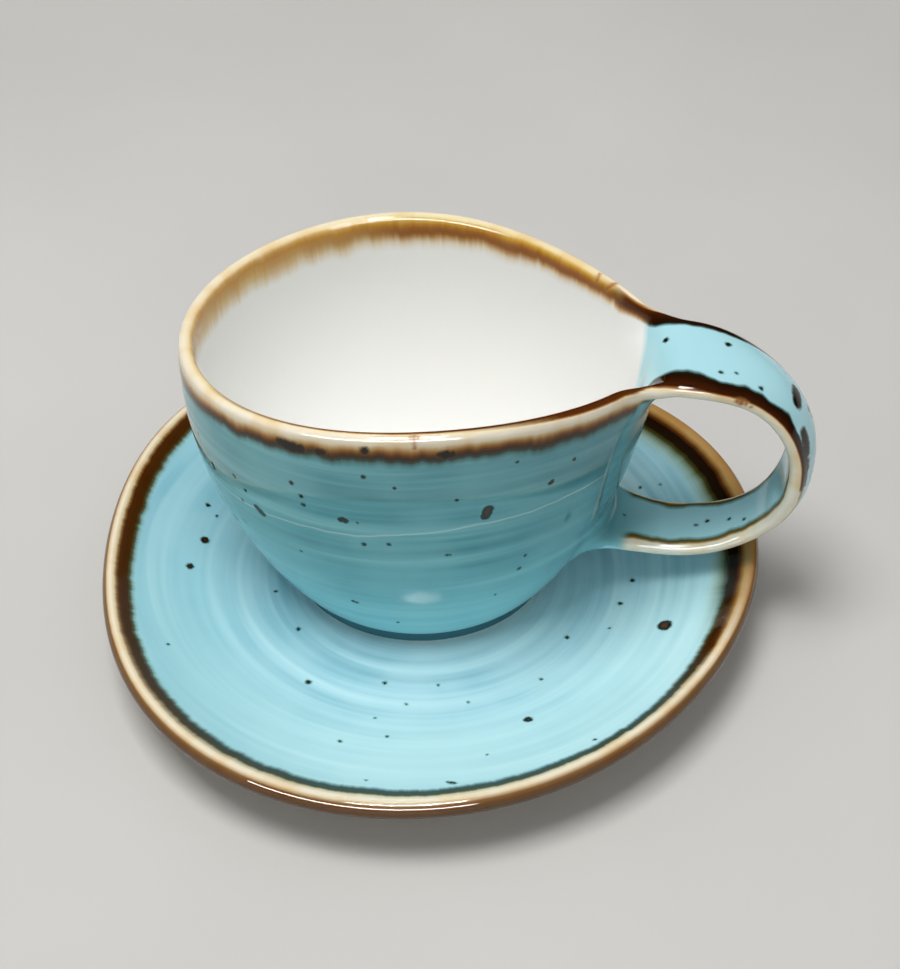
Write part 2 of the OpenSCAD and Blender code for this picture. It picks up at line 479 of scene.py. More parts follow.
SAUCER_EDGES = (
    (
        Coat(-8.0, "#3E2A16", 0.0), Coat(-6.0, "#3E2A16"), Coat(-3.5, "#523820"), Coat(-1.4, "#684828"),
        Coat(0.0, "#866240"), Coat(0.5, "#C4AE88"), Coat(1.0, "#E6D8BC"), Coat(1.9, "#F2EAD6"),
        Coat(2.9, "#DCD4B0"), Coat(3.4, "#86804E"), Coat(3.8, "#40463A"), Coat(5.4, "#38504C"),
        Coat(6.1, "#4C7474", 0.7), Coat(6.9, "#6FA0A0", 0.0),
    ),
    (
        Coat(-8.0, "#2E1A0C", 0.0), Coat(-6.0, "#2E1A0C"), Coat(-3.0, "#422A16"), Coat(-1.2, "#5E4224"),
        Coat(-0.1, "#866238"), Coat(0.4, "#DCC8A4"), Coat(1.2, "#F0E2C8"), Coat(2.0, "#DCC8A0"),
        Coat(2.5, "#8E6434"), Coat(3.0, "#4C280C"), Coat(4.4, "#442408"), Coat(5.4, "#44280A"),
        Coat(6.1, "#484618", 0.95), Coat(6.7, "#6E8C74", 0.6), Coat(7.5, "#88AEA8", 0.0),
    ),
    (
        Coat(-8.0, "#2A160A", 0.0), Coat(-6.0, "#2A160A"), Coat(-3.0, "#402410"), Coat(-1.2, "#6C421C"),
        Coat(-0.1, "#8E6230"), Coat(0.6, "#AC8048"), Coat(2.2, "#B49058"), Coat(3.0, "#8C6430"),
        Coat(3.6, "#553014"), Coat(4.4, "#1E1008"), Coat(6.4, "#20160A"), Coat(7.4, "#46461E"),
        Coat(8.4, "#6E7A48", 0.8), Coat(10.0, "#94A684", 0.4), Coat(11.8, "#A8C0A8", 0.0),
    ),
)
SAUCER_SPECKS = tuple(Speck(*numbers) for numbers in (
    (-58.1, 10.7, 10.2, 0.50), (-55.2, 8.0, 9.2, 0.32), (-56.0, -1.4, 9.3, 0.95),
    (-57.1, -12.0, 10.2, 0.82), (-34.8, -14.3, 6.9, 0.36), (-26.6, -26.2, 6.8, 0.45),
    (-54.5, -41.7, 13.4, 0.30), (-20.6, -43.1, 7.2, 0.60), (-2.6, -40.3, 6.8, 0.38),
    (10.0, -39.1, 6.8, 0.20), (-9.1, -62.4, 10.5, 0.36), (3.5, -46.3, 7.1, 0.26), (-2.8, -52.3, 7.9, 0.18),
    (1.1, -58.4, 9.3, 0.28), (17.8, -43.6, 7.2, 0.18), (-0.4, -76.3, 15.2, 0.20),
    (17.5, -74.4, 15.7, 0.36), (18.3, -74.6, 15.8, 0.44), (19.1, -74.8, 15.9, 0.36),
    (24.7, -62.7, 12.3, 0.24), (32.5, -48.8, 9.6, 0.88), (34.0, -34.0, 7.3, 0.30),
    (38.8, -19.1, 6.9, 0.42), (48.7, -15.4, 7.9, 0.20), (62.0, -16.0, 11.6, 1.55), (53.1, 1.6, 8.3, 0.50),
    (50.7, -6.5, 7.9, 0.48), (48.4, -58.0, 16.2, 0.32), (52.8, 33.9, 10.8, 0.30), (57.9, 34.2, 12.3, 0.22),
    (30.0, 55.0, 11.5, 0.45), (-18.0, 61.0, 12.0, 0.62), (-41.0, 44.0, 11.5, 0.34),
    (-12.0, 47.0, 7.6, 0.28), (12.0, 66.0, 14.5, 0.26), (44.0, 44.0, 11.2, 0.60),
))
CUP_SPECKS = tuple(Speck(*numbers) for numbers in (
    (-46.1, -25.0, 53.0, 0.35), (-42.3, -28.6, 47.4, 0.50), (-42.0, -28.8, 46.2, 0.45),
    (-35.5, -34.8, 50.0, 0.50), (-32.8, -36.2, 47.4, 0.38), (-34.2, -34.6, 42.7, 0.38),
    (-30.1, -37.1, 43.3, 0.72), (-29.4, -37.5, 42.6, 0.80), (-28.7, -37.8, 41.9, 0.70),
    (-20.3, -42.5, 56.8, 0.48), (-18.2, -42.9, 53.6, 0.38), (-17.8, -42.8, 50.9, 0.45),
    (-9.1, -44.0, 48.8, 0.62), (-8.6, -44.1, 48.8, 0.66), (-8.1, -44.1, 48.7, 0.58),
    (-5.3, -44.2, 48.5, 0.22), (-3.6, -44.7, 62.8, 0.45), (3.0, -44.2, 60.0, 0.36),
    (16.3, -41.0, 55.4, 0.30), (-4.2, -43.6, 41.6, 0.45), (1.4, -43.4, 42.2, 0.40),
    (14.1, -40.4, 37.8, 0.28), (14.8, -40.1, 37.7, 0.26), (-19.8, -39.9, 33.6, 0.24),
    (-8.2, -38.8, 18.0, 0.34), (-7.4, -39.0, 17.7, 0.36), (2.0, -37.3, 10.8, 0.22),
    (22.4, -38.5, 49.2, 1.00), (22.7, -38.4, 50.2, 1.12), (23.0, -38.2, 51.2, 1.02),
    (28.7, -35.7, 63.6, 0.30), (40.6, -27.8, 59.2, 0.36), (35.8, -31.2, 54.4, 0.48),
    (36.3, -30.9, 54.8, 0.44), (31.0, -31.4, 31.6, 0.42), (29.7, -31.2, 27.0, 0.48),
    (24.5, -32.4, 18.8, 0.22), (58.2, 6.0, 68.7, 0.60), (72.4, 4.9, 69.9, 0.65), (71.1, -5.8, 70.1, 0.40),
    (74.6, -4.9, 69.5, 0.32), (80.4, -6.5, 67.2, 0.46), (70.3, -1.0, 18.3, 0.34), (72.9, 0.1, 19.1, 0.40),
    (78.0, -0.9, 21.4, 0.36), (81.4, -3.0, 23.8, 0.34), (52.5, -1.0, 18.9, 0.34), (91.2, 2.0, 44.0, 0.40),
    (93.0, -2.0, 33.0, 0.30), (-52.5, 13.4, 56.0, 0.55), (-49.4, 15.7, 40.0, 0.35),
    (-34.3, 34.8, 45.0, 0.70), (-21.5, 42.0, 55.0, 0.42), (-11.8, 42.3, 36.0, 0.50),
    (0.0, 44.3, 52.0, 0.34), (8.0, 43.0, 44.0, 0.90), (9.1, 42.5, 45.6, 0.80), (20.5, 39.6, 58.0, 0.40),
    (27.3, 35.9, 47.0, 0.36), (31.0, 32.0, 34.0, 0.55), (-27.2, 33.9, 24.0, 0.32),
    (-49.2, -6.9, 30.0, 0.40), (-50.4, -15.3, 44.0, 0.62),
))
CUP_BLOTS = tuple(Speck(*numbers) for numbers in (
    (-22.3, -41.7, 67.9, 0.80), (-20.8, -42.2, 67.7, 1.10), (-19.2, -42.6, 67.6, 1.20),
    (-17.6, -43.0, 67.6, 1.00), (-13.4, -43.8, 68.0, 0.70), (-12.4, -43.9, 68.1, 0.60),
    (-3.2, -44.5, 70.1, 0.75), (12.7, -42.0, 69.1, 0.60), (13.9, -41.6, 68.9, 0.90),
    (15.2, -41.2, 68.8, 0.60), (88.9, 0.2, 61.7, 1.45), (89.0, -1.2, 61.4, 1.60), (89.1, -2.6, 61.0, 1.45),
    (91.6, 0.6, 56.2, 0.90), (92.1, 0.2, 54.6, 0.90), (91.2, -6.6, 55.4, 1.15), (91.7, -6.9, 53.9, 1.35),
    (92.2, -7.2, 52.2, 1.35), (92.6, -7.5, 50.6, 1.10), (93.0, -8.0, 48.0, 0.80), (93.2, -8.0, 46.4, 0.80),
))
CUP_TICKS = tuple(Speck(*numbers) for numbers in (
    (7.1, -42.1, 73.6, 0.30), (7.2, -42.6, 73.2, 0.22), (7.3, -43.0, 72.7, 0.18), (7.3, -43.2, 72.2, 0.18),
    (7.3, -43.3, 71.7, 0.22), (7.3, -43.3, 71.1, 0.30), (6.4, -42.4, 73.5, 0.25), (8.0, -42.2, 73.5, 0.25),
    (41.1, 25.2, 72.2, 0.30), (40.9, 24.7, 71.9, 0.22), (40.8, 24.4, 71.5, 0.20), (40.5, 24.1, 71.0, 0.20),
    (40.3, 24.0, 70.4, 0.20), (45.2, 22.3, 71.9, 0.34), (44.6, 22.0, 71.8, 0.34), (44.1, 21.8, 71.5, 0.30),
    (43.7, 21.7, 71.1, 0.25), (43.3, 21.7, 70.6, 0.22), (43.1, 21.8, 70.1, 0.22),
    (75.3, -11.6, 66.9, 0.50), (76.2, -11.5, 66.5, 0.60), (77.2, -11.3, 66.1, 0.40),
    (78.5, -11.1, 65.2, 0.20),
))


class Crest:
    """The line along the top of a piece's rounded edge, from which the glaze's bands are measured."""

    def __init__(self, piece: bpy.types.Object) -> None:
        """Finds the line.

        Args:
            piece: the finished piece, with its crest layer.
        """
        mesh = piece.data
        on = [value.value > 0.999 for value in mesh.attributes["crest"].data]
        self.beside: dict[int, list[int]] = {}
        for edge in mesh.edges:
            a, b = edge.vertices
            if on[a] and on[b]:
                self.beside.setdefault(a, []).append(b)
                self.beside.setdefault(b, []).append(a)
        self.place = {i: mesh.vertices[i].co / MM for i in self.beside}
        self.tree = kdtree.KDTree(len(self.beside))
        for i, co in self.place.items():
            self.tree.insert(co, i)
        self.tree.balance()

    def foot(self, place: Vector) -> Vector:
        """Finds the point of the line that is nearest to a place.

        Args:
            place: the place, in millimetres.

        Returns:
            The nearest point, in millimetres.
        """
        start, i, _ = self.tree.find(place)
        best = start
        for other in self.beside[i]:
            way = self.place[other] - start
            share = min(1.0, max(0.0, (place - start).dot(way) / way.length_squared))
            found = start + way * share
            if (found - place).length_squared < (best - place).length_squared:
                best = found
        return best

    def mark(self, piece: bpy.types.Object, breaking: Callable[[Vector, bool], Break]) -> None:
        """Marks each point of the piece with its signed distance from the crest, its streak and its tone.

        Args:
            piece: the piece.
            breaking: gives the break by the crest's point, and by whether the glaze lies inwards of it.
        """
        mesh = piece.data
        side = [value.value for value in mesh.attributes["face"].data]
        reach, flow, tone = [], [], []
        for vert in mesh.vertices:
            place = vert.co / MM
            foot = self.foot(place)
            inward = side[vert.index] >= 0
            here = breaking(foot, inward)
            far = (place - foot).length
            bead = INNER_BEAD_MM if inward else OUTER_BEAD_MM
            if far > bead:
                far = bead + (far - bead) * here.narrow
            if inward:
                away = far + here.step_mm
            else:
                away = here.step_mm * max(0.0, 1 - far / STEP_ROOM_MM) - far
            reach.append(max(-EDGE_REACH_MM, min(away, EDGE_REACH_MM)))
            flow.extend(foot + (place - foot) * STREAK)
            tone.append(here.tone)
        for name, kind, field_name, values in (
            ("edge_mm", "FLOAT", "value", reach),
            ("flow", "FLOAT_VECTOR", "vector", flow),
            ("tone", "FLOAT", "value", tone),
        ):
            mesh.attributes.new(name, kind, "POINT").data.foreach_set(field_name, values)
        for name in ("crest", "column", "row", "section"):
            mesh.attributes.remove(mesh.attributes[name])


@dataclass(frozen=True)
class Glaze:
    """A glossy stoneware glaze, brushed on over the wheel's rings, that breaks to cream and brown at edges.

    Stoneware glaze is glass over clay: it is smooth, shows lamps as sharp highlights, thins to pale clay on
    each edge, and pools dark beside it. A pattern's scale is how many of its waves lie in a millimetre: the
    throwing rings are 3 mm apart, the clouds 22 mm and the fired skin's waves 2 mm. The brush sways over 6 mm
    and leaves streaks of 1.5 mm.
    """

    name: str
    thick: str
    middle: str
    thin: str
    white: str
    edges: tuple[tuple[Coat, ...], ...]
    specks: tuple[Speck, ...]
    origin: Vector
    blots: tuple[Speck, ...] = ()
    ticks: tuple[Speck, ...] = ()
    first_tone: float = 0.0
    broad_rag: float = 1.5
    fine_rag: float = 1.1
    ring_stretch: float = 0.035
    rings_a_mm: float = 0.34
    ring_shares: tuple[float, float, float] = (0.28, 0.50, 0.74)
    ring_height_mm: float = 0.005
    clouds_a_mm: float = 0.045
    cloud_range: tuple[float, float] = (0.35, 0.65)
    cloud_cover: float = 0.45
    peel_a_mm: float = 0.5
    peel_height_mm: float = 0.006
    shakes_a_mm: float = 1.1
    shake_mm: float = 0.7
    speck_join_mm: float = 0.7
    sways_a_mm: float = 0.17
    streaks_a_mm: float = 0.7
    dark_streaks: float = 0.25
    outer_streaks: float = 0.3
    warmth: str = "#F0D6A0"
    warmths_a_mm: float = 0.12
    warm_range: tuple[float, float] = (0.48, 0.66)
    warm_cover: float = 0.45
    rough_range: tuple[float, float] = (0.3, 0.7)
    roughness: tuple[float, float] = (0.02, 0.045)
    ior: float = 1.45

    def throw(self, tree: Tree, place: Socket) -> Socket:
        """The place as the throwing rings see it: slow along each ring, quick across it."""
        along = self.ring_stretch
        return add(tree, "VectorMath", (place, (along, along, 1.0)), operation="MULTIPLY").outputs[0]

    def lining(self, tree: Tree, place: Socket) -> Socket:
        """How far the white lining glaze covers a place, from 0 to 1."""
        raise NotImplementedError

    def paint_light_and_shade(self, tree: Tree, place: Socket, body: Socket) -> Socket:
        """The body colour with painted light and shade laid over it by place."""
        raise NotImplementedError

    def spots(self, tree: Tree, place: Socket, specks: tuple[Speck, ...], coats: tuple[Coat, ...]) -> Node:
        """A ramp of the specks' colours by the distance from the nearest speck's rim.

        Args:
            tree: the material's nodes.
            place: the place in millimetres.
            specks: the specks.
            coats: the colours, by the distance outwards from the rim.

        Returns:
            The ramp's node.
        """
        nearest = None
        for speck in specks:
            off = add(tree, "VectorMath", (place, (speck.x, speck.y, speck.z)), operation="DISTANCE")
            grown = speck.size * SPECK_GROWTH
            rim = add(tree, "Math", (off.outputs["Value"], grown), operation="SUBTRACT").outputs[0]
            if nearest is not None:
                rim = add(tree, "Math", (nearest, rim, self.speck_join_mm), operation="SMOOTH_MIN").outputs[0]
            nearest = rim
        return self.ramp(tree, nearest, coats, SPOT_REACH_MM)

    def ramp(self, tree: Tree, value: Socket, coats: tuple[Coat, ...], reach: float) -> Node:
        """Lays coats out over a distance.

        Args:
            tree: the material's nodes.
            value: the distance in millimetres.
            coats: the colours, by the distance.
            reach: how far the ramp goes either way, in millimetres.

        Returns:
            The ramp's node.
        """
        share = add(tree, "MapRange", (value, -reach, reach)).outputs[0]
        stops = [((coat.mm + reach) / (2 * reach), srgb(coat.colour, coat.cover)) for coat in coats]
        return add(tree, "ValToRGB", (share,), stops=stops)

    def dress(self, piece: bpy.types.Object) -> None:
        """Gives a piece this glaze.

        Args:
            piece: the piece, with its crest's marks.
        """
        material = bpy.data.materials.new(self.name)
        material.use_nodes = True
        tree = material.node_tree
        surface = tree.nodes["Principled BSDF"]
        coord = add(tree, "TexCoord").outputs["Object"]
        moved = (coord, (1 / MM,) * 3, -self.origin)
        place = add(tree, "VectorMath", moved, operation="MULTIPLY_ADD").outputs[0]

        thrown = self.throw(tree, place)
        rings = {"Vector": thrown, "Scale": self.rings_a_mm, "Detail": 3.0, "Roughness": 0.45}
        rings = add(tree, "TexNoise", rings).outputs["Fac"]
        cloud = add(tree, "TexNoise", {"Vector": place, "Scale": self.clouds_a_mm}).outputs["Fac"]
        coats = (self.thick, self.middle, self.thin)
        body = add(tree, "ValToRGB", (rings,), stops=list(zip(self.ring_shares, map(srgb, coats)))).outputs[0]
        drift = add(tree, "MapRange", (cloud, *self.cloud_range, 0.0, self.cloud_cover)).outputs[0]
        body = add(tree, "Mix", {0: drift, 6: body, 7: srgb(self.thin)}, data_type="RGBA").outputs[2]
        body = self.paint_light_and_shade(tree, place, body)
        white = self.lining(tree, place)
        colour = add(tree, "Mix", {0: white, 6: body, 7: srgb(self.white)}, data_type="RGBA").outputs[2]

        shake = add(tree, "TexNoise", {"Vector": place, "Scale": self.shakes_a_mm, "Detail": 1.0})
        shaken = (shake.outputs["Color"], (self.shake_mm,) * 3, place)
        shaken = add(tree, "VectorMath", shaken, operation="MULTIPLY_ADD").outputs[0]
        shaken = add(tree, "VectorMath", (shaken, (self.shake_mm / 2,) * 3), operation="SUBTRACT").outputs[0]
        iron = self.spots(tree, shaken, self.specks, SPECK_COATS)
        edge, cover = self.edge(tree)
        marks = [(iron.outputs["Color"], iron.outputs["Alpha"]), (edge, cover)]
        for places, coats in ((self.blots, BLOT_COATS), (self.ticks, TICK_COATS)):
            if places:
                spot = self.spots(tree, shaken, places, coats)
                marks.append((spot.outputs["Color"], spot.outputs["Alpha"]))
        for mark, cover in marks:
            colour = add(tree, "Mix", {0: cover, 6: colour, 7: mark}, data_type="RGBA").outputs[2]

        peel = add(tree, "TexNoise", {"Vector": place, "Scale": self.peel_a_mm}).outputs["Fac"]
        height = add(tree, "Math", (peel, self.peel_height_mm), operation="MULTIPLY").outputs[0]
        height = add(tree, "Math", (rings, self.ring_height_mm, height), operation="MULTIPLY_ADD").outputs[0]
        bump = add(tree, "Bump", {"Height": height, "Distance": MM, "Strength": 1.0})
        rough = add(tree, "MapRange", (cloud, *self.rough_range, *self.roughness))
        tree.links.new(colour, surface.inputs["Base Color"])
        tree.links.new(rough.outputs[0], surface.inputs["Roughness"])
        tree.links.new(bump.outputs[0], surface.inputs["Normal"])
        surface.inputs["IOR"].default_value = self.ior
        piece.data.materials.clear()
        piece.data.materials.append(material)

    def edge(self, tree: Tree) -> tuple[Socket, Socket]:
        """Breaks the glaze over the edge, by each place's distance from the crest, with ragged streaks.

        Args:
            tree: the material's nodes.

        Returns:
            The colour, and how far it covers what is under it.
        """
        reach = add(tree, "Attribute", attribute_name="edge_mm").outputs["Fac"]
        flow = add(tree, "Attribute", attribute_name="flow").outputs["Vector"]
        tone = add(tree, "Attribute", attribute_name="tone").outputs["Fac"]
        broad = add(tree, "TexNoise", {"Vector": flow, "Scale": self.sways_a_mm}).outputs["Fac"]
        fine = {"Vector": flow, "Scale": self.streaks_a_mm, "Detail": 3.0}
        fine = add(tree, "TexNoise", fine).outputs["Fac"]
        wide, narrow = RAG_SPREAD * self.broad_rag, RAG_SPREAD * self.fine_rag
        ragged_tone = add(tree, "MapRange", (tone, 1.0, 2.0, 1.0, self.dark_streaks)).outputs[0]
        ragged_side = add(tree, "MapRange", (reach, -1.0, 1.0, self.outer_streaks, 1.0)).outputs[0]
        small = add(tree, "Math", (ragged_tone, ragged_side), operation="MULTIPLY").outputs[0]
        small = add(tree, "Math", (small, narrow), operation="MULTIPLY").outputs[0]
        fine = add(tree, "Math", (fine, 0.5), operation="SUBTRACT").outputs[0]
        pull = add(tree, "Math", (broad, wide, -wide / 2), operation="MULTIPLY_ADD").outputs[0]
        pull = add(tree, "Math", (fine, small, pull), operation="MULTIPLY_ADD").outputs[0]
        size = add(tree, "Math", (reach,), operation="ABSOLUTE").outputs[0]
        room = add(tree, "MapRange", (size, *RAG_DISTANCES_MM, *RAG_SHARES)).outputs[0]
        ragged = add(tree, "Math", (pull, room, reach), operation="MULTIPLY_ADD").outputs[0]
        first, *others = [self.ramp(tree, ragged, coats, EDGE_REACH_MM) for coats in self.edges]
        colour, cover = first.outputs["Color"], first.outputs["Alpha"]
        for k, ramp in enumerate(others):
            share = add(tree, "MapRange", (tone, self.first_tone + k, self.first_tone + k + 1)).outputs[0]
            shade = {0: share, 6: colour, 7: ramp.outputs["Color"]}
            colour = add(tree, "Mix", shade, data_type="RGBA").outputs[2]
            cover = add(tree, "Mix", {0: share, 2: cover, 3: ramp.outputs["Alpha"]}).outputs[0]
        warm = {"Vector": flow, "Scale": self.warmths_a_mm, "Detail": 4.0}
        warm = add(tree, "TexNoise", warm).outputs["Fac"]
        warm = add(tree, "MapRange", (warm, *self.warm_range, 0.0, self.warm_cover)).outputs[0]
        shade = {0: warm, 6: colour, 7: srgb(self.warmth)}
        return add(tree, "Mix", shade, data_type="RGBA", blend_type="MULTIPLY").outputs[2], cover


@dataclass(frozen=True)
class CupGlaze(Glaze):
    """The cup's glaze, turquoise outside and on the strap, and glossy white inside, as a liner glaze is.

    The turquoise is darkened by the neck as painted shade, lightened over the strap, most on its faces that
    look up, as painted light, and lightened low on the wall as painted bounce light from the saucer. The white
    ends in a soft curve across the neck, and a fine pale line round the wall is a painted reflection of the
    saucer's rim.
    """

    lining_end: float = 50.9
    lining_slope: float = 0.494
    lining_curve: float = -0.0245
    lining_blur: float = 0.7
    neck_half: float = 12.0
    beside_neck: tuple[float, float] = (-12.5, -17.0)
    beside_shift: float = 10.0
    foot_heights: tuple[float, float] = (3.5, 4.2)
    # Painted shade: a darker teal in the hollow by the neck, where the strap shades the wall.
    neck_painted_shade: str = "#3C7C8A"
    neck_shade_reach: tuple[float, float] = (18.0, 46.0)
    neck_shade_heights: tuple[float, float] = (12.0, 34.0)
    neck_shade_least: float = 0.1
    neck_shade_cover: float = 0.6
    # Painted light: a lighter turquoise over the strap, most on its faces that look up.
    strap_painted_light: str = "#BCEAF2"
    strap_light_from: tuple[float, float] = (50.0, 62.0)
    strap_light_cover: float = 0.76
    # Painted bounce light from the saucer: a lighter turquoise low on the wall.
    low_painted_light: str = "#8ED2DA"
    low_light_heights: tuple[float, float] = (8.0, 36.0)
    low_light_cover: float = 0.66
    # A painted reflection of the saucer's rim, as a fine pale line round the wall.
    rim_painted_reflection: str = "#D8E8E4"
    reflection_height: float = 44.9
    reflection_slope: float = 0.075
    reflection_wander: float = 2.4
    reflection_sways_a_mm: float = 0.09
    reflection_half: tuple[float, float] = (0.05, 0.42)
    reflection_cover: float = 0.42
    reflection_end: tuple[float, float] = (44.0, 49.0)
    reflection_face: tuple[float, float] = (-0.8, -0.5)

    def lining(self, tree: Tree, place: Socket) -> Socket:
        """Covers the inside of the bowl with white up to a curve across the neck, and the cup's underside.

        Args:
            tree: the material's nodes.
            place: the place in millimetres.

        Returns:
            How far the white covers the place, from 0 to 1.
        """
        face = add(tree, "Attribute", attribute_name="face").outputs["Fac"]
        inner = add(tree, "MapRange", (face, *FACE_TURNS)).outputs[0]
        parts = add(tree, "SeparateXYZ", (place,)).outputs
        neck = (-self.neck_half, self.neck_half)
        across = add(tree, "MapRange", (parts["Y"], *neck, *neck)).outputs[0]
        line = (across, self.lining_curve, self.lining_slope)
        line = add(tree, "Math", line, operation="MULTIPLY_ADD").outputs[0]
        line = add(tree, "Math", (across, line, self.lining_end), operation="MULTIPLY_ADD").outputs[0]
        aside = add(tree, "MapRange", (parts["Y"], *self.beside_neck, 0.0, self.beside_shift)).outputs[0]
        line = add(tree, "Math", (line, aside), operation="ADD").outputs[0]
        past = add(tree, "Math", (parts["X"], line), operation="SUBTRACT").outputs[0]
        short = add(tree, "MapRange", (past, -self.lining_blur, self.lining_blur, 1.0, 0.0)).outputs[0]
        bowl = add(tree, "Math", (inner, short), operation="MULTIPLY").outputs[0]
        under = add(tree, "MapRange", (parts["Z"], *self.foot_heights, 1.0, 0.0)).outputs[0]
        return add(tree, "Math", (bowl, under), operation="MAXIMUM").outputs[0]

    def paint_light_and_shade(self, tree: Tree, place: Socket, body: Socket) -> Socket:
        """Paints shade by the neck, light over the strap and low on the wall, and a reflection line round it.

        Args:
            tree: the material's nodes.
            place: the place in millimetres.
            body: the glaze's colour as brushed.

        Returns:
            Its colour with the painted light and shade.
        """
        face = add(tree, "Attribute", attribute_name="face").outputs["Fac"]
        parts = add(tree, "SeparateXYZ", (place,)).outputs
        # Painted shade in the hollow by the neck.
        near = add(tree, "MapRange", (parts["X"], *self.neck_shade_reach, 0.0, self.neck_shade_cover)).outputs[0]
        hollow = add(tree, "MapRange", (parts["Z"], *self.neck_shade_heights, self.neck_shade_least, 1.0)).outputs[0]
        near = add(tree, "Math", (near, hollow), operation="MULTIPLY").outputs[0]
        # Painted light on the strap, most on its faces that look up.
        over = add(tree, "MapRange", (face, *FACE_TURNS, 0.0, self.strap_light_cover)).outputs[0]
        strap = add(tree, "MapRange", (parts["X"], *self.strap_light_from, 0.0, self.strap_light_cover)).outputs[0]
        light = add(tree, "Math", (over, strap), operation="MAXIMUM").outputs[0]
        # Painted bounce light low on the wall, left out where the painted shade by the neck lies.
        low = add(tree, "MapRange", (parts["Z"], *self.low_light_heights, self.low_light_cover, 0.0)).outputs[0]
        low = add(tree, "Math", (low, near), operation="SUBTRACT", use_clamp=True).outputs[0]
        for share, colour in (
            (near, self.neck_painted_shade), (light, self.strap_painted_light), (low, self.low_painted_light),
            (self.painted_reflection_line(tree, place, face), self.rim_painted_reflection),
        ):
            body = add(tree, "Mix", {0: share, 6: body, 7: srgb(colour)}, data_type="RGBA").outputs[2]
        return body

    def painted_reflection_line(self, tree: Tree, place: Socket, face: Socket) -> Socket:
        """Draws a painted reflection of the saucer's rim: a fine pale line round the wall.

        Args:
            tree: the material's nodes.
            place: the place in millimetres.
            face: which side of the crest the place lies on.

        Returns:
            How much the line shows.
        """
        parts = add(tree, "SeparateXYZ", (place,)).outputs
        course = (parts["X"], self.reflection_slope, self.reflection_height)
        course = add(tree, "Math", course, operation="MULTIPLY_ADD").outputs[0]
        off = add(tree, "Math", (parts["Z"], course), operation="SUBTRACT").outputs[0]
        shake = add(tree, "TexNoise", {"Vector": place, "Scale": self.reflection_sways_a_mm}).outputs["Fac"]
        off = add(tree, "Math", (shake, self.reflection_wander, off), operation="MULTIPLY_ADD").outputs[0]
        off = add(tree, "Math", (off, self.reflection_wander / 2), operation="SUBTRACT").outputs[0]
        off = add(tree, "Math", (off,), operation="ABSOLUTE").outputs[0]
        fine = add(tree, "MapRange", (off, *self.reflection_half, self.reflection_cover, 0.0)).outputs[0]
        wall = add(tree, "MapRange", (parts["X"], *self.reflection_end, 1.0, 0.0)).outputs[0]
        outer = add(tree, "MapRange", (face, *self.reflection_face, 1.0, 0.0)).outputs[0]
        fine = add(tree, "Math", (fine, wall), operation="MULTIPLY").outputs[0]
        return add(tree, "Math", (fine, outer), operation="MULTIPLY").outputs[0]


@dataclass(frozen=True)
class SaucerGlaze(Glaze):
    """The saucer's glaze, turquoise on top, with rings about its middle, and white beneath.

    It is lightened down the front of the dish's slope as a painted sheen, and darkened on its left as painted
    shade.
    """

    broad_rag: float = 0.7
    fine_rag: float = 0.6
    ring_stretch: float = 0.03
    # Painted sheen: a lighter colour on the front of the dish's slope.
    front_painted_sheen: str = "#C8F2F4"
    slope_radii: tuple[float, float] = (46.0, 62.0)
    front_depths: tuple[float, float] = (10.0, -30.0)
    front_sheen_cover: float = 0.5
    # Painted shade: a darker teal on the dish's left.
    left_painted_shade: str = "#70B0BE"
    left_shade_reach: tuple[float, float] = (-12.0, -52.0)
    left_shade_cover: float = 0.4
    under_face: tuple[float, float] = (-0.9, -0.6)

    def throw(self, tree: Tree, place: Socket) -> Socket:
        """The place as rings about the saucer's middle see it: slow along each ring, quick across it.

        Args:
            tree: the material's nodes.
            place: the place in millimetres.

        Returns:
            The place that the rings' pattern reads.
        """
        flat = add(tree, "VectorMath", (place, (1.0, 1.0, 0.0)), operation="MULTIPLY").outputs[0]
        radius = add(tree, "VectorMath", (flat,), operation="LENGTH").outputs["Value"]
        ring = add(tree, "CombineXYZ", {2: radius}).outputs[0]
        slow = (self.ring_stretch,) * 3
        return add(tree, "VectorMath", (flat, slow, ring), operation="MULTIPLY_ADD").outputs[0]

    def paint_light_and_shade(self, tree: Tree, place: Socket, body: Socket) -> Socket:
        """Paints a sheen on the front of the dish's slope, and shade on its left.

        Args:
            tree: the material's nodes.
            place: the place in millimetres.
            body: the glaze's colour as brushed.

        Returns:
            Its colour with the painted sheen and shade.
        """
        flat = add(tree, "VectorMath", (place, (1.0, 1.0, 0.0)), operation="MULTIPLY").outputs[0]
        radius = add(tree, "VectorMath", (flat,), operation="LENGTH").outputs["Value"]
        parts = add(tree, "SeparateXYZ", (place,)).outputs
        # Painted sheen on the front of the dish's slope.
        slope = add(tree, "MapRange", (radius, *self.slope_radii, 0.0, self.front_sheen_cover)).outputs[0]
        front = add(tree, "MapRange", (parts["Y"], *self.front_depths, 0.0, 1.0)).outputs[0]
        light = add(tree, "Math", (slope, front), operation="MULTIPLY").outputs[0]
        # Painted shade on the dish's left.
        left = add(tree, "MapRange", (parts["X"], *self.left_shade_reach, 0.0, self.left_shade_cover)).outputs[0]
        for share, colour in ((light, self.front_painted_sheen), (left, self.left_painted_shade)):
            body = add(tree, "Mix", {0: share, 6: body, 7: srgb(colour)}, data_type="RGBA").outputs[2]
        return body

    def lining(self, tree: Tree, place: Socket) -> Socket:
        """How far the white covers a place, which it does under the dish."""
        face = add(tree, "Attribute", attribute_name="face").outputs["Fac"]
        return add(tree, "MapRange", (face, *self.under_face, 1.0, 0.0)).outputs[0]


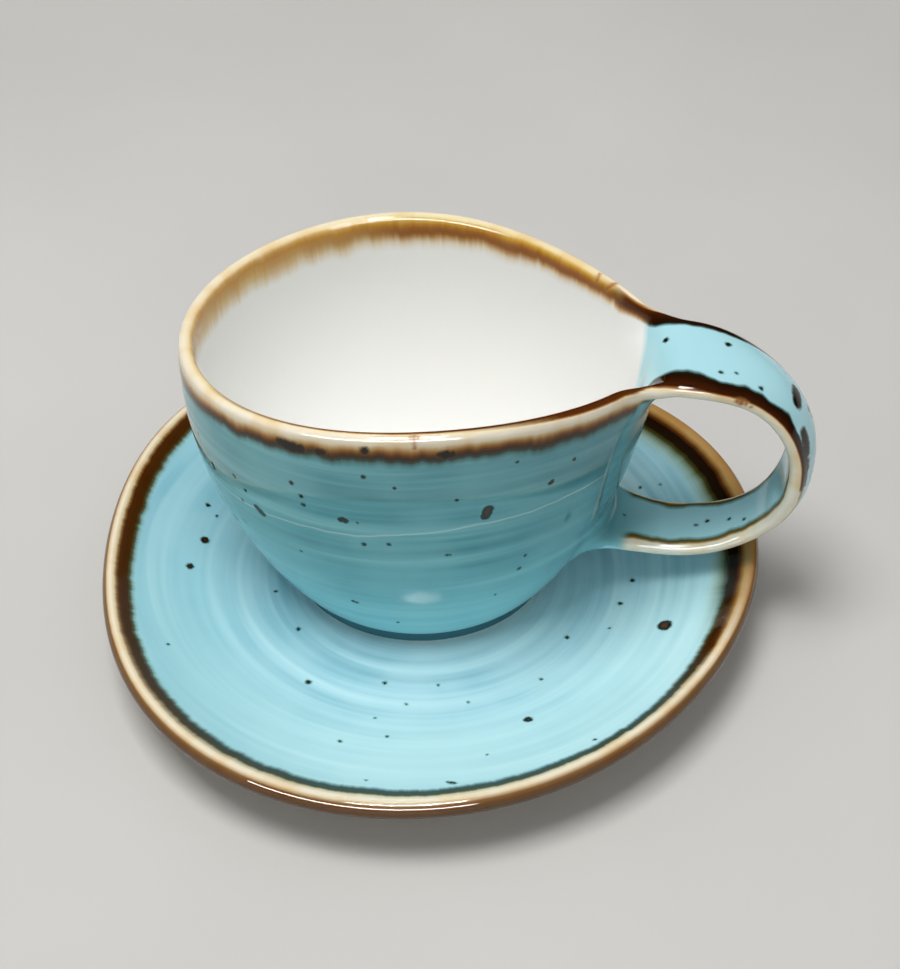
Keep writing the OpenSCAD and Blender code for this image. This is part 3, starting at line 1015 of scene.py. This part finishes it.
@dataclass(frozen=True)
class Bisque:
    """Ground, unglazed stoneware, matt and sandy with fine dark grog, below the glaze that runs to it.

    The grog's grains are 0.6 mm apart, and the glaze's edge runs in waves of 2.5 mm.
    """

    name: str
    ground_z: float
    glaze: str
    clay: str = "#DDD3C2"
    grog: str = "#A89880"
    clay_range: tuple[float, float] = (0.36, 0.5)
    grit_a_mm: float = 1.6
    runs_a_mm: float = 0.4
    run_mm: float = 0.5
    glaze_above_mm: float = 0.6
    glaze_blur_mm: float = 0.2
    sand_height_mm: float = 0.1
    rough_bare: float = 0.85
    rough_glazed: float = 0.1

    def dress(self, piece: bpy.types.Object) -> None:
        """Gives a foot ring this finish.

        Args:
            piece: the foot ring, a solid carried over from the frame.
        """
        material = bpy.data.materials.new(self.name)
        material.use_nodes = True
        tree = material.node_tree
        surface = tree.nodes["Principled BSDF"]
        coord = add(tree, "TexCoord").outputs["Object"]
        grit = {"Vector": coord, "Scale": self.grit_a_mm / MM, "Detail": 3.0}
        grit = add(tree, "TexNoise", grit).outputs["Fac"]
        clays = list(zip(self.clay_range, (srgb(self.grog), srgb(self.clay))))
        colour = add(tree, "ValToRGB", (grit,), stops=clays).outputs[0]
        high = add(tree, "SeparateXYZ", (coord,)).outputs["Z"]
        run = add(tree, "TexNoise", {"Vector": coord, "Scale": self.runs_a_mm / MM}).outputs["Fac"]
        line = add(tree, "Math", (run, self.run_mm * MM, high), operation="MULTIPLY_ADD").outputs[0]
        low = (self.ground_z + self.glaze_above_mm) * MM
        glazed = add(tree, "MapRange", (line, low, low + self.glaze_blur_mm * MM)).outputs[0]
        colour = add(tree, "Mix", {0: glazed, 6: colour, 7: srgb(self.glaze)}, data_type="RGBA")
        bare = add(tree, "Math", (1.0, glazed), operation="SUBTRACT").outputs[0]
        sand = add(tree, "Math", (grit, bare), operation="MULTIPLY").outputs[0]
        rough = add(tree, "MapRange", {0: glazed, 3: self.rough_bare, 4: self.rough_glazed})
        bump = add(tree, "Bump", {"Height": sand, "Distance": self.sand_height_mm * MM, "Strength": 1.0})
        tree.links.new(colour.outputs[2], surface.inputs["Base Color"])
        tree.links.new(rough.outputs[0], surface.inputs["Roughness"])
        tree.links.new(bump.outputs[0], surface.inputs["Normal"])
        for slot in piece.material_slots:
            slot.material = material


@dataclass
class Station:
    """One cross-section of the strap: where it stands, which way it faces, and its widths.

    The strap's outer face carries on from the inside of the lip, and its inner face from the outside.
    """

    centre: Vector
    out: Vector
    half: float
    bead: float
    rise: float = 0.0
    lean: float = 0.0
    shares: tuple[float, float] = (0.6, 0.82)

    def points(self, reach: int) -> list[Vector]:
        """The section's points, from one lower corner of the outer face round to the start.

        Args:
            reach: half the count of spans across a face.

        Returns:
            The points, in millimetres about the cup's axis.
        """
        along = Vector((self.out.z, 0, -self.out.x))
        turn = math.atan2(2 * max(0.0, -self.rise), self.half)
        across, corner = self.shares

        def at(y: float, height: float) -> Vector:
            """A point of the section, by its distance across and outwards."""
            return self.centre + Vector((0, y, 0)) + self.out * height

        def sheet(share: float, side: float) -> Vector:
            """A point of one of the strap's faces.

            Args:
                share: how far across it lies, as a share of the half width.
                side: 1 for the outer face, -1 for the inner one.

            Returns:
                The point.
            """
            bow = 1 - share * share
            dip = self.rise * bow if side > 0 else min(0.0, self.rise) * bow
            lean = self.lean * bow
            top = at(share * self.half, dip + self.bead)
            if side > 0:
                return top + along * (-self.bead * math.sin(lean))
            under = at(share * self.half, dip + self.bead - 2 * self.bead * math.cos(lean))
            return under + along * (self.bead * math.sin(lean))

        def round_edge(sign: float) -> list[Vector]:
            """The bead at one edge.

            Args:
                sign: 1 for the edge at +Y, -1 for the other.

            Returns:
                Its points, from the outer face round to the inner one.
            """
            edge = [sheet(sign * corner, 1)]
            for step in (90, 45, 0, -45, -90):
                angle = math.radians(step) + turn
                edge.append(at(sign * (self.half + self.bead * math.cos(angle)), self.bead * math.sin(angle)))
            return edge + [sheet(sign * corner, -1)]

        spans = [across * k / reach for k in range(-reach, reach + 1)]
        outer = [sheet(share, 1) for share in spans]
        inner = [sheet(share, -1) for share in reversed(spans)]
        return outer + round_edge(1) + inner + list(reversed(round_edge(-1)))

    @staticmethod
    def faces(reach: int) -> list[Face]:
        """Which side of the crest each of the section's points lies on.

        Args:
            reach: half the count of spans across a face.

        Returns:
            One face a point, in the order of points().
        """
        across = 2 * reach + 1
        edge = [Face.INNER, Face.INNER, Face.INNER_BEAD, Face.CREST, Face.OUTER_BEAD, Face.OUTER, Face.OUTER]
        return [Face.INNER] * across + edge + [Face.OUTER] * across + list(reversed(edge))


# Round the lip, in degrees from the strap: how many times narrower a band is, and its tone.
INNER_BAND = (
    (
        (-180, 0.87), (-150, 1.0), (-60, 1.2), (-20, 1.2), (8, 3.0), (16, 2.2), (22, 1.4), (30, 1.5),
        (60, 1.15), (100, 1.0), (150, 0.95), (180, 0.87),
    ),
    (
        (-180, -1.0), (-160, -0.6), (-140, 0.5), (-115, 1.0), (-80, 1.0), (-10, 1.0), (10, 1.2), (21, 1.0),
        (27, 0.3), (34, 0.0), (100, 0.0), (120, -0.5), (145, -1.0), (180, -1.0),
    ),
)
OUTER_BAND = (
    (
        (-180, 1.1), (-140, 0.95), (-100, 0.82), (-60, 0.82), (-40, 0.7), (-20, 0.85), (0, 1.0), (60, 1.0),
        (180, 1.1),
    ),
    (
        (-180, 0.0), (-150, 0.1), (-110, 0.25), (-60, 0.4), (-38, 1.0), (-10, 1.0), (20, 0.8), (60, 0.3),
        (180, 0.0),
    ),
)
# How far inwards the bands are stepped, in millimetres, round the lip.
STEP_IN = (
    (-180, 0.2), (-130, 0.4), (-100, 0.5), (-80, 0.7), (-65, 1.1), (-45, 2.1), (-33, 3.0), (-22, 3.0),
    (-13, 1.2), (-8, 0.0), (160, 0.0), (180, 0.2),
)
# Along the strap's near edge, in millimetres from the cup's axis: how many times narrower the band is.
STRAP_BAND = (
    (50, 1.2), (58, 1.0), (67, 1.05), (71.5, 1.75), (74, 1.75), (76.6, 1.5), (78, 1.85), (79.6, 1.6),
    (81, 2.0), (83, 2.0), (85.5, 1.7), (88, 2.7), (92, 2.2),
)
# The same for its far edge, for its under face and its lower run, and for the lower run's far edge.
STRAP_FAR_BAND = 1.9
STRAP_UNDER_BAND = 1.1
STRAP_LOW_FAR_BAND = 1.5
# The strap's first sections: place along, half width, rise, lean in degrees, and shares across.
NECK_SECTIONS = ((56.6, 13.4, -4.6, 48, (0.80, 0.92)), (60.0, 12.1, -1.8, 22, (0.70, 0.87)))
# Half the strap's width to its bead's line, by the angle round the loop in degrees.
LOOP_HALVES = ((-90, 7.0), (-45, 6.3), (0, 8.6), (45, 8.8), (90, 11.5))
# The rounded lip, by the angle round its section in degrees.
LIP_ROLL = (
    (0, Face.OUTER), (45, Face.OUTER_BEAD), (90, Face.CREST), (135, Face.INNER_BEAD), (180, Face.INNER),
)


@dataclass
class Cup:
    """The glazed cup: a bowl with an egg-shaped lip that runs on into a broad looped strap.

    Rows are shares of the way up the wall, at which a ring is laid.
    """

    at: Vector
    lip: Outline = field(default_factory=lambda: Outline(46.8, (-0.036, 0.102, 0.014, 0.009)))
    neck_len: float = 6.4
    neck_spread: float = math.radians(25)
    neck_keep: float = 0.3
    neck_fade: int = 4
    lip_h: float = 69.7
    lip_tilt: float = 1.7
    lip_saddle: float = 2.0
    lip_t: float = 3.6
    wall_t: float = 3.8
    wall_swell: tuple[float, float] = (2.2, 0.76)
    floor_t: float = 4.2
    base_r: float = 34.2
    base_shift: float = 1.6
    belly: float = 0.6
    foot_h: float = 3.4
    strap_t: float = 3.8
    strap_crown: float = 2.4
    crown_in: int = 7
    crown_out: int = 5
    strap_reach: float = 91.6
    strap_bend: float = 62.0
    strap_drop: float = 53.3
    strap_dip: float = 0.7
    strap_climb: float = 3.4
    strap_middle: float = 41.0
    strap_starts: tuple[float, float] = (51.0, 57.0)
    strap_ends: tuple[float, float] = (54.5, 50.5)
    loop_steps: int = 26
    loop_roundness: float = 0.93
    root_shares: tuple[float, ...] = (0.3, 0.58, 0.8)
    root_halves: tuple[float, float] = (7.0, 8.4)
    root_power: float = 1.8
    root_swell: float = 1.1
    base_radii: tuple[float, ...] = (3.0, 12.0, 22.0, 29.0)
    base_edge: float = 1.0
    low_rows: tuple[float, ...] = (0.006, 0.03, 0.06, 0.09, 0.12)
    root_rows: tuple[float, ...] = tuple(0.150 + 0.0205 * k for k in range(9))
    high_rows: tuple[float, ...] = (0.36, 0.42, 0.49, 0.56, 0.63, 0.70, 0.77, 0.84, 0.93)
    inner_rows: tuple[float, ...] = (
        0.94, 0.86, 0.77, 0.68, 0.59, 0.50, 0.41, 0.32, 0.24, 0.17, 0.11, 0.06, 0.025, 0.005,
    )
    neck_rows: tuple[float, float] = (0.84, 0.86)
    floor_edge: float = 2.5
    floor_radii: tuple[float, ...] = (20.0, 10.0, 3.0)
    columns: int = 80
    reach: int = 4

    def neck(self, angle: float) -> float:
        """How far the lip is drawn out towards the strap in one direction."""
        turned = (angle + math.pi) % (2 * math.pi) - math.pi
        return self.neck_len * math.exp(-((turned / self.neck_spread) ** 2))

    def lip_line(self, angle: float) -> float:
        """The radius of the lip's centre line in one direction."""
        return self.lip.at(angle) + self.neck(angle)

    def lip_z(self, angle: float) -> float:
        """The height of the lip's centre line in one direction."""
        return self.lip_h + self.lip_tilt * math.cos(angle) - self.lip_saddle * math.cos(2 * angle)

    def wall(self, angle: float, up: float, offset: float, start_r: float, start_z: float) -> Vector:
        """A point of the wall's outer or inner face.

        Args:
            angle: its direction from the cup's axis.
            up: how far up the wall it lies, from 0 to 1.
            offset: how far the face stands off the lip's centre line at the top.
            start_r: the face's radius at the bottom.
            start_z: the face's height at the bottom.

        Returns:
            The point, in millimetres about the cup's axis.
        """
        fade = (1 - self.neck_keep) * (1 - up**self.neck_fade)
        end_r = self.lip_line(angle) - self.neck(angle) * fade + offset
        first, last = self.wall_swell
        swell = (1 - (1 - up) ** first) ** last
        bulge = up * up * (1 - up) / BULGE_PEAK
        r = start_r + (end_r - start_r) * swell + self.belly * bulge
        shift = self.base_shift * (1 - up) ** 2
        z = start_z + (self.lip_z(angle) - start_z) * up
        return Vector((shift + r * math.cos(angle), r * math.sin(angle), z))

    def outer(self, angle: float, up: float) -> Vector:
        """A point of the wall's outer face, by its direction and its share of the way up."""
        return self.wall(angle, up, self.lip_t / 2, self.base_r, self.foot_h)

    def inner(self, angle: float, up: float) -> Vector:
        """A point of the wall's inner face, by its direction and its share of the way up."""
        floor = self.foot_h + self.floor_t
        return self.wall(angle, up, -self.lip_t / 2, self.base_r - self.wall_t, floor)

    def lip_point(self, angle: float, roll: float) -> Vector:
        """A point of the rounded lip.

        Args:
            angle: its direction from the cup's axis.
            roll: its angle round the lip's section, from the outside.

        Returns:
            The point, in millimetres about the cup's axis.
        """
        bead = self.lip_t / 2 * BEAD_GROWTH
        r = self.lip_line(angle) + bead * math.cos(roll)
        return Vector((r * math.cos(angle), r * math.sin(angle), self.lip_z(angle) + bead * math.sin(roll)))

    def strap(self) -> list[Station]:
        """Lays out the strap: two sections at the neck, the loop, and the run to just before the wall.

        Returns:
            The strap's sections, from the lip round to the wall.
        """
        top = self.lip_z(0) - self.strap_dip
        bottom = top - self.strap_drop
        middle = (top + bottom) / 2
        bead = self.strap_t / 2 * BEAD_GROWTH
        up, down = Vector((0, 0, 1)), Vector((0, 0, -1))
        found = [
            Station(Vector((x, 0, top)), up, half, bead, rise, math.radians(lean), shares)
            for x, half, rise, lean, shares in NECK_SECTIONS
        ]
        for k in range(self.loop_steps + 1):
            angle = math.radians(90 - 180 * k / self.loop_steps)
            forward = abs(math.cos(angle)) ** self.loop_roundness
            upward = math.copysign(abs(math.sin(angle)) ** self.loop_roundness, math.sin(angle))
            x = self.strap_bend + (self.strap_reach - self.strap_bend) * forward
            z = middle + self.strap_drop / 2 * upward
            half = between(LOOP_HALVES, math.degrees(angle), eased=True)
            found.append(Station(Vector((x, 0, z)), up, half, bead))
        root = self.outer(0, (bottom + self.strap_climb - self.foot_h) / (self.lip_z(0) - self.foot_h))
        for share in self.root_shares:
            x = self.strap_bend + (root.x - self.strap_bend) * share
            z = bottom + self.strap_climb * share**self.root_power
            half = mix(*self.root_halves, share)
            found.append(Station(Vector((x, 0, z)), down, half, bead + self.root_swell * share**3))
        last = len(found) - 1
        for k in range(len(NECK_SECTIONS), len(found)):
            way = (found[min(k + 1, last)].centre - found[k - 1].centre).normalized()
            arrived = ease((k - len(NECK_SECTIONS)) / self.crown_in) * ease((last - k) / self.crown_out)
            found[k].out = Vector((-way.z, 0, way.x))
            found[k].rise = self.strap_crown * arrived
        return found

    def build(self) -> bpy.types.Object:
        """Throws the bowl ring by ring, then pulls the strap out of its lip and lutes it to its wall.

        Returns:
            The cup's mesh, in its place on the saucer.
        """
        clay = Clay("glazed_cup", self.columns)
        step = 2 * math.pi / self.columns

        def flat(radius: float, z: float) -> Callable[[int], Vector]:
            """A level ring about the base's centre."""
            middle = Vector((self.base_shift, 0, z))
            return lambda i: middle + Vector((radius * math.cos(i * step), radius * math.sin(i * step), 0))

        for radius in (*self.base_radii, self.base_r - self.base_edge):
            clay.ring(Face.OUTER, flat(radius, self.foot_h))
        outside = {}
        for up in (*self.low_rows, *self.root_rows, *self.high_rows):
            outside[up] = clay.ring(Face.OUTER, lambda i, up=up: self.outer(i * step, up))
        for degrees, face in LIP_ROLL:
            clay.ring(face, lambda i, roll=math.radians(degrees): self.lip_point(i * step, roll))
        inside = {}
        for up in self.inner_rows:
            inside[up] = clay.ring(Face.INNER, lambda i, up=up: self.inner(i * step, up))
        for radius in (self.base_r - self.wall_t - self.floor_edge, *self.floor_radii):
            clay.ring(Face.INNER, flat(radius, self.foot_h + self.floor_t))
        clay.close()
        clay.close_base()

        root = (outside[self.root_rows[0]], outside[self.root_rows[-1]])
        neck = (outside[self.neck_rows[0]], inside[self.neck_rows[1]])
        root_border = self.border(clay, *root)
        clay.window(root, self.reach)
        clay.pick(lambda vert: False)
        clay.window(neck, self.reach)
        faces = Station.faces(self.reach)
        for station in self.strap():
            clay.draw_out(station.points(self.reach), faces)
        clay.draw_out(root_border, [Face.OUTER] * len(faces))
        cup = clay.finish(levels=2)
        Crest(cup).mark(cup, self.breaking)
        cup.data.transform(Matrix.Translation(self.at * MM))
        return cup

    def border(self, clay: Clay, first: int, last: int) -> list[Vector]:
        """The root window's border, in the order of the strap's section, which arrives upside down.

        Args:
            clay: the bowl.
            first: the border's lowest row.
            last: its highest row.

        Returns:
            The border's points, in millimetres about the cup's axis.
        """
        mesh, column, row, _, _ = clay.tags()
        place = {(v[row], clay.off(v[column])): v.co / MM for v in mesh.verts if first <= v[row] <= last}
        reach = self.reach
        bottom = [place[first, off] for off in range(-reach, reach + 1)]
        right = [place[r, reach] for r in range(first + 1, last)]
        top = [place[last, off] for off in range(reach, -reach - 1, -1)]
        left = [place[r, -reach] for r in range(last - 1, first, -1)]
        return bottom + right + top + left

    def breaking(self, foot: Vector, inward: bool) -> Break:
        """How the glaze breaks over one place of the edge.

        Args:
            foot: the crest's point, in millimetres about the cup's axis.
            inward: whether the glaze lies inwards of the crest.

        Returns:
            The break.
        """
        near = foot.y < 0
        if foot.z < self.strap_middle:
            start, end = self.strap_ends
            narrow = STRAP_LOW_FAR_BAND if inward and foot.y > 0 else STRAP_UNDER_BAND
            return Break(narrow, Tone.OLIVE.value + ease((start - foot.x) / (start - end)))
        if not inward:
            narrow, tone = STRAP_UNDER_BAND, Tone.OLIVE
        else:
            narrow, tone = between(STRAP_BAND, foot.x) if near else STRAP_FAR_BAND, Tone.DARK_ON_TURQUOISE
        turn = math.degrees(math.atan2(foot.y, foot.x))
        widths, tones = INNER_BAND if inward else OUTER_BAND
        start, end = self.strap_starts
        onto = ease((foot.x - start) / (end - start))
        step = between(STEP_IN, turn) * (1 - onto)
        narrow = mix(between(widths, turn), narrow, onto)
        return Break(narrow, mix(between(tones, turn), tone.value, onto), step)

    def dress(self, piece: bpy.types.Object) -> None:
        """Glazes the cup turquoise outside and white inside.

        Args:
            piece: the built cup.
        """
        CupGlaze(
            "turquoise_stoneware_glaze_lined_white", thick="#508E98", middle="#60A2AC", thin="#88C4CA",
            white="#F3F3F0", edges=CUP_EDGES, specks=CUP_SPECKS, blots=CUP_BLOTS, ticks=CUP_TICKS,
            origin=self.at, first_tone=Tone.GOLD.value,
        ).dress(piece)


# Round the saucer, in degrees from its right: how many times narrower the upper band is, and its tone.
SAUCER_BAND = (
    (
        (-180, 0.97), (-140, 1.05), (-115, 1.0), (-95, 0.95), (-60, 1.15), (-45, 1.4), (-30, 1.3),
        (-15, 1.1), (-5, 1.0), (30, 0.95), (90, 1.0), (180, 0.97),
    ),
    (
        (-180, 1.0), (-150, 0.95), (-130, 0.75), (-110, 0.3), (-90, 0.0), (-45, 0.1), (-30, 0.35),
        (-16, 1.3), (-6, 1.8), (4, 2.0), (70, 2.0), (110, 1.3), (150, 1.0), (180, 1.0),
    ),
)
# The tone of the edge's outer flank.
FLANK_TONE = (
    (-180, 1.0), (-130, 0.6), (-90, 0.0), (-50, 0.2), (-20, 0.7), (0, 1.2), (60, 1.5), (120, 1.2), (180, 1.0),
)
# The rounded edge, by the angle round its section in degrees.
RIM_ROLL = (
    (-90, Face.OUTER), (-50, Face.OUTER), (-15, Face.OUTER), (20, Face.OUTER_BEAD), (55, Face.CREST),
    (90, Face.INNER),
)


@dataclass
class Saucer:
    """The glazed saucer: a flat floor, a rising dish and a rounded, uneven edge.

    Rows are shares of the way from the foot, or from the floor, out to the edge.
    """

    edge: Outline = field(
        default_factory=lambda: Outline(82.0, (0.011, 0.003, 0.016, -0.011), (-0.038, 0.002, 0.033, 0.001))
    )
    height: float = 18.6
    floor_t: float = 4.2
    edge_t: float = 5.0
    edge_round: float = 2.4
    edge_growth: float = 1.05
    foot_r: float = 47.0
    foot_h: float = 2.6
    floor_r: float = 43.7
    under_edge: float = 0.5
    under_radii: tuple[float, ...] = (3.0, 14.0, 26.0, 37.0, 44.0)
    under_rows: tuple[float, ...] = (0.12, 0.26, 0.42, 0.58, 0.74, 0.88, 0.96)
    under_power: float = 1.4
    upper_rows: tuple[float, ...] = (0.97, 0.93, 0.86, 0.77, 0.67, 0.56, 0.45, 0.34, 0.23, 0.12)
    upper_power: float = 1.6
    floor_radii: tuple[float, ...] = (36.0, 26.0, 14.0, 3.0)
    columns: int = 96

    def build(self) -> bpy.types.Object:
        """Throws the saucer ring by ring, from under its middle round the edge to its floor.

        Returns:
            The saucer's mesh.
        """
        clay = Clay("glazed_saucer", self.columns)
        step = 2 * math.pi / self.columns
        top = self.foot_h + self.floor_t
        under_r = self.foot_r + self.under_edge

        def spot(radius: float, i: int, z: float) -> Vector:
            """A point at a radius and height, in one column's direction."""
            return Vector((radius * math.cos(i * step), radius * math.sin(i * step), z))

        def slope(start: float, share: float, z: float) -> Callable[[int], Vector]:
            """A ring of the dish's upper or under face, by its share of the way to the edge."""
            return lambda i: spot(start + (self.edge.at(i * step) - self.edge_round - start) * share, i, z)

        def rounded(roll: float) -> Callable[[int], Vector]:
            """A ring of the rounded edge.

            Args:
                roll: its angle round the edge's section, from the outermost line.

            Returns:
                The place of each column's point.
            """
            grow = self.edge_growth
            outwards = self.edge_round * grow * math.cos(roll)
            z = self.height - self.edge_t / 2 * (1 - grow * math.sin(roll))
            return lambda i: spot(self.edge.at(i * step) - self.edge_round + outwards, i, z)

        def flat(radius: float, z: float) -> Callable[[int], Vector]:
            """A level ring about the saucer's centre."""
            return lambda i: spot(radius, i, z)

        for radius in (*self.under_radii, under_r):
            clay.ring(Face.OUTER, flat(radius, self.foot_h))
        for share in self.under_rows:
            climb = self.height - self.edge_t - self.foot_h
            clay.ring(Face.OUTER, slope(under_r, share, self.foot_h + climb * share**self.under_power))
        for degrees, face in RIM_ROLL:
            clay.ring(face, rounded(math.radians(degrees)))
        for share in self.upper_rows:
            climb = self.height - top
            clay.ring(Face.INNER, slope(self.floor_r, share, top + climb * share**self.upper_power))
        for radius in (self.floor_r, *self.floor_radii):
            clay.ring(Face.INNER, flat(radius, top))
        clay.close()
        clay.close_base()
        saucer = clay.finish(levels=2)
        Crest(saucer).mark(saucer, self.breaking)
        return saucer

    def breaking(self, foot: Vector, inward: bool) -> Break:
        """How the glaze breaks over one place of the edge.

        Args:
            foot: the crest's point, in millimetres about the saucer's centre.
            inward: whether the glaze lies inwards of the crest.

        Returns:
            The break.
        """
        turn = math.degrees(math.atan2(foot.y, foot.x))
        if not inward:
            return Break(1.0, between(FLANK_TONE, turn))
        widths, tones = SAUCER_BAND
        return Break(between(widths, turn), between(tones, turn))

    def dress(self, piece: bpy.types.Object) -> None:
        """Glazes the saucer turquoise on top and white beneath.

        Args:
            piece: the built saucer.
        """
        SaucerGlaze(
            "turquoise_stoneware_glaze", thick="#84B8C8", middle="#9ED0DC", thin="#C4EAF0",
            white="#E8E6E0", edges=SAUCER_EDGES, specks=SAUCER_SPECKS, origin=Vector((0, 0, 0)),
        ).dress(piece)


@dataclass(frozen=True)
class Paper:
    """Pale, matt paper under the ware, with a faint grain and no shine, so that no lamp shows in it."""

    name: str = "pale_paper"
    dark: str = "#C6C4C0"
    light: str = "#CDCBC7"
    grain_a_metre: float = 6.0
    grain_range: tuple[float, float] = (0.3, 0.7)
    roughness: float = 0.9
    size_m: float = 4.0

    def lay(self) -> None:
        """Lays the sheet under the object, as a piece of the stage."""
        bpy.ops.mesh.primitive_plane_add(size=self.size_m, location=(0, 0, 0))
        floor = bpy.context.object
        floor.name = "floor"
        paper = bpy.data.materials.new(self.name)
        paper.use_nodes = True
        tree = paper.node_tree
        surface = tree.nodes["Principled BSDF"]
        coord = add(tree, "TexCoord").outputs["Object"]
        grain = add(tree, "TexNoise", {"Vector": coord, "Scale": self.grain_a_metre, "Detail": 3.0})
        shades = list(zip(self.grain_range, (srgb(self.dark), srgb(self.light))))
        tint = add(tree, "ValToRGB", (grain.outputs["Fac"],), stops=shades)
        tree.links.new(tint.outputs[0], surface.inputs["Base Color"])
        surface.inputs["Roughness"].default_value = self.roughness
        surface.inputs["Specular IOR Level"].default_value = 0.0
        floor.data.materials.append(paper)


@dataclass(frozen=True)
class Lamp:
    """One lamp above the ware, in metres and watts, that either lights it or shows in its glaze."""

    name: str
    place: tuple[float, float, float]
    size: tuple[float, float]
    watts: float
    in_glaze: bool

    def hang(self) -> None:
        """Adds the lamp, facing the saucer's middle."""
        way = Vector(self.place)
        bpy.ops.object.light_add(type="AREA", location=way)
        lamp = bpy.context.object
        lamp.name = self.name
        lamp.data.shape = "RECTANGLE"
        lamp.data.size, lamp.data.size_y = self.size
        lamp.data.energy = self.watts
        lamp.visible_glossy = self.in_glaze
        lamp.visible_diffuse = not self.in_glaze
        lamp.rotation_euler = way.to_track_quat("Z", "Y").to_euler()


@dataclass(frozen=True)
class Camera:
    """The photograph's view, solved from the level lip, the saucer's edge and the table's line."""

    place_mm: tuple[float, float, float] = (52.2, -321.8, 328.3)
    back: tuple[float, float, float] = (0.1034, -0.7359, 0.6691)
    right: tuple[float, float, float] = (0.9903, 0.1392, 0.0)
    roll: float = math.radians(0.45)
    focal_px: float = 1800.0
    picture_h: float = 969.0
    sensor_mm: float = 36.0

    def place(self) -> None:
        """Adds the camera and makes it the scene's."""
        data = bpy.data.cameras.new("camera")
        data.sensor_fit = "VERTICAL"
        data.sensor_height = self.sensor_mm
        data.lens = self.focal_px * self.sensor_mm / self.picture_h
        camera = bpy.data.objects.new("camera", data)
        bpy.context.scene.collection.objects.link(camera)
        back, right = Vector(self.back).normalized(), Vector(self.right).normalized()
        up = back.cross(right)
        tilted = right * math.cos(self.roll) + up * math.sin(self.roll)
        up = back.cross(tilted)
        turn = Matrix((tilted, up, back)).transposed().to_4x4()
        camera.matrix_world = Matrix.Translation(Vector(self.place_mm) * MM) @ turn
        bpy.context.scene.camera = camera


LAMPS = (
    Lamp("soft_box_over", (-0.16, -0.16, 1.02), (0.45, 0.45), 8.0, in_glaze=False),
    Lamp("strip_lamp_front", (0.055, -0.37, 0.94), (0.40, 0.010), 26.0, in_glaze=True),
    Lamp("strip_lamp_low", (-0.10, -1.00, 0.52), (1.40, 0.16), 30.0, in_glaze=True),
)
ROOM_LIGHT = 0.40


def studio() -> None:
    """Sets the camera, a pale floor, the lamps, and white light all round that the glaze doesn't show."""
    Camera().place()
    Paper().lay()
    for lamp in LAMPS:
        lamp.hang()
    world = bpy.data.worlds.new("studio")
    bpy.context.scene.world = world
    world.cycles_visibility.glossy = False
    world.use_nodes = True
    room = world.node_tree.nodes["Background"]
    room.inputs["Strength"].default_value = ROOM_LIGHT
    room.inputs["Color"].default_value = (1.0, 1.0, 1.0, 1.0)
    bpy.context.scene.view_settings.view_transform = "Standard"


def report(piece: bpy.types.Object) -> None:
    """Reports a dressed piece."""
    LOG.info("%s: %d faces", piece.name, len(piece.data.polygons))


def main(frame: dict) -> None:
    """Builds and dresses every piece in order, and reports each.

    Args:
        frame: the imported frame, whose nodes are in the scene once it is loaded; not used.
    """
    logging.basicConfig(level=logging.INFO, format="%(message)s")
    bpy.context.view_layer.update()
    cup_ground = 6.8

    dish = Saucer()
    saucer = dish.build()
    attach(saucer, "saucer")
    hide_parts("saucer_plate")
    bowl = Cup(Vector((-3.0, 7.0, cup_ground)))
    cup = bowl.build()
    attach(cup, "cup")
    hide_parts("cup_bowl", "cup_handle")
    dish.dress(saucer)
    report(saucer)
    bowl.dress(cup)
    report(cup)

    for name, finish in (
        ("saucer_foot_ring", Bisque("saucer_foot_ground_bisque", 0.0, "#E8E6E0")),
        # The cup's foot ring is glazed a dark teal on its sides: painted shade under the cup's belly.
        ("cup_foot_ring", Bisque("cup_foot_ground_bisque", cup_ground, "#2F626E")),
    ):
        foot_ring = bpy.data.objects[name]
        finish.dress(foot_ring)
        report(foot_ring)
    studio()


if __name__ == "__main__":
    main(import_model())
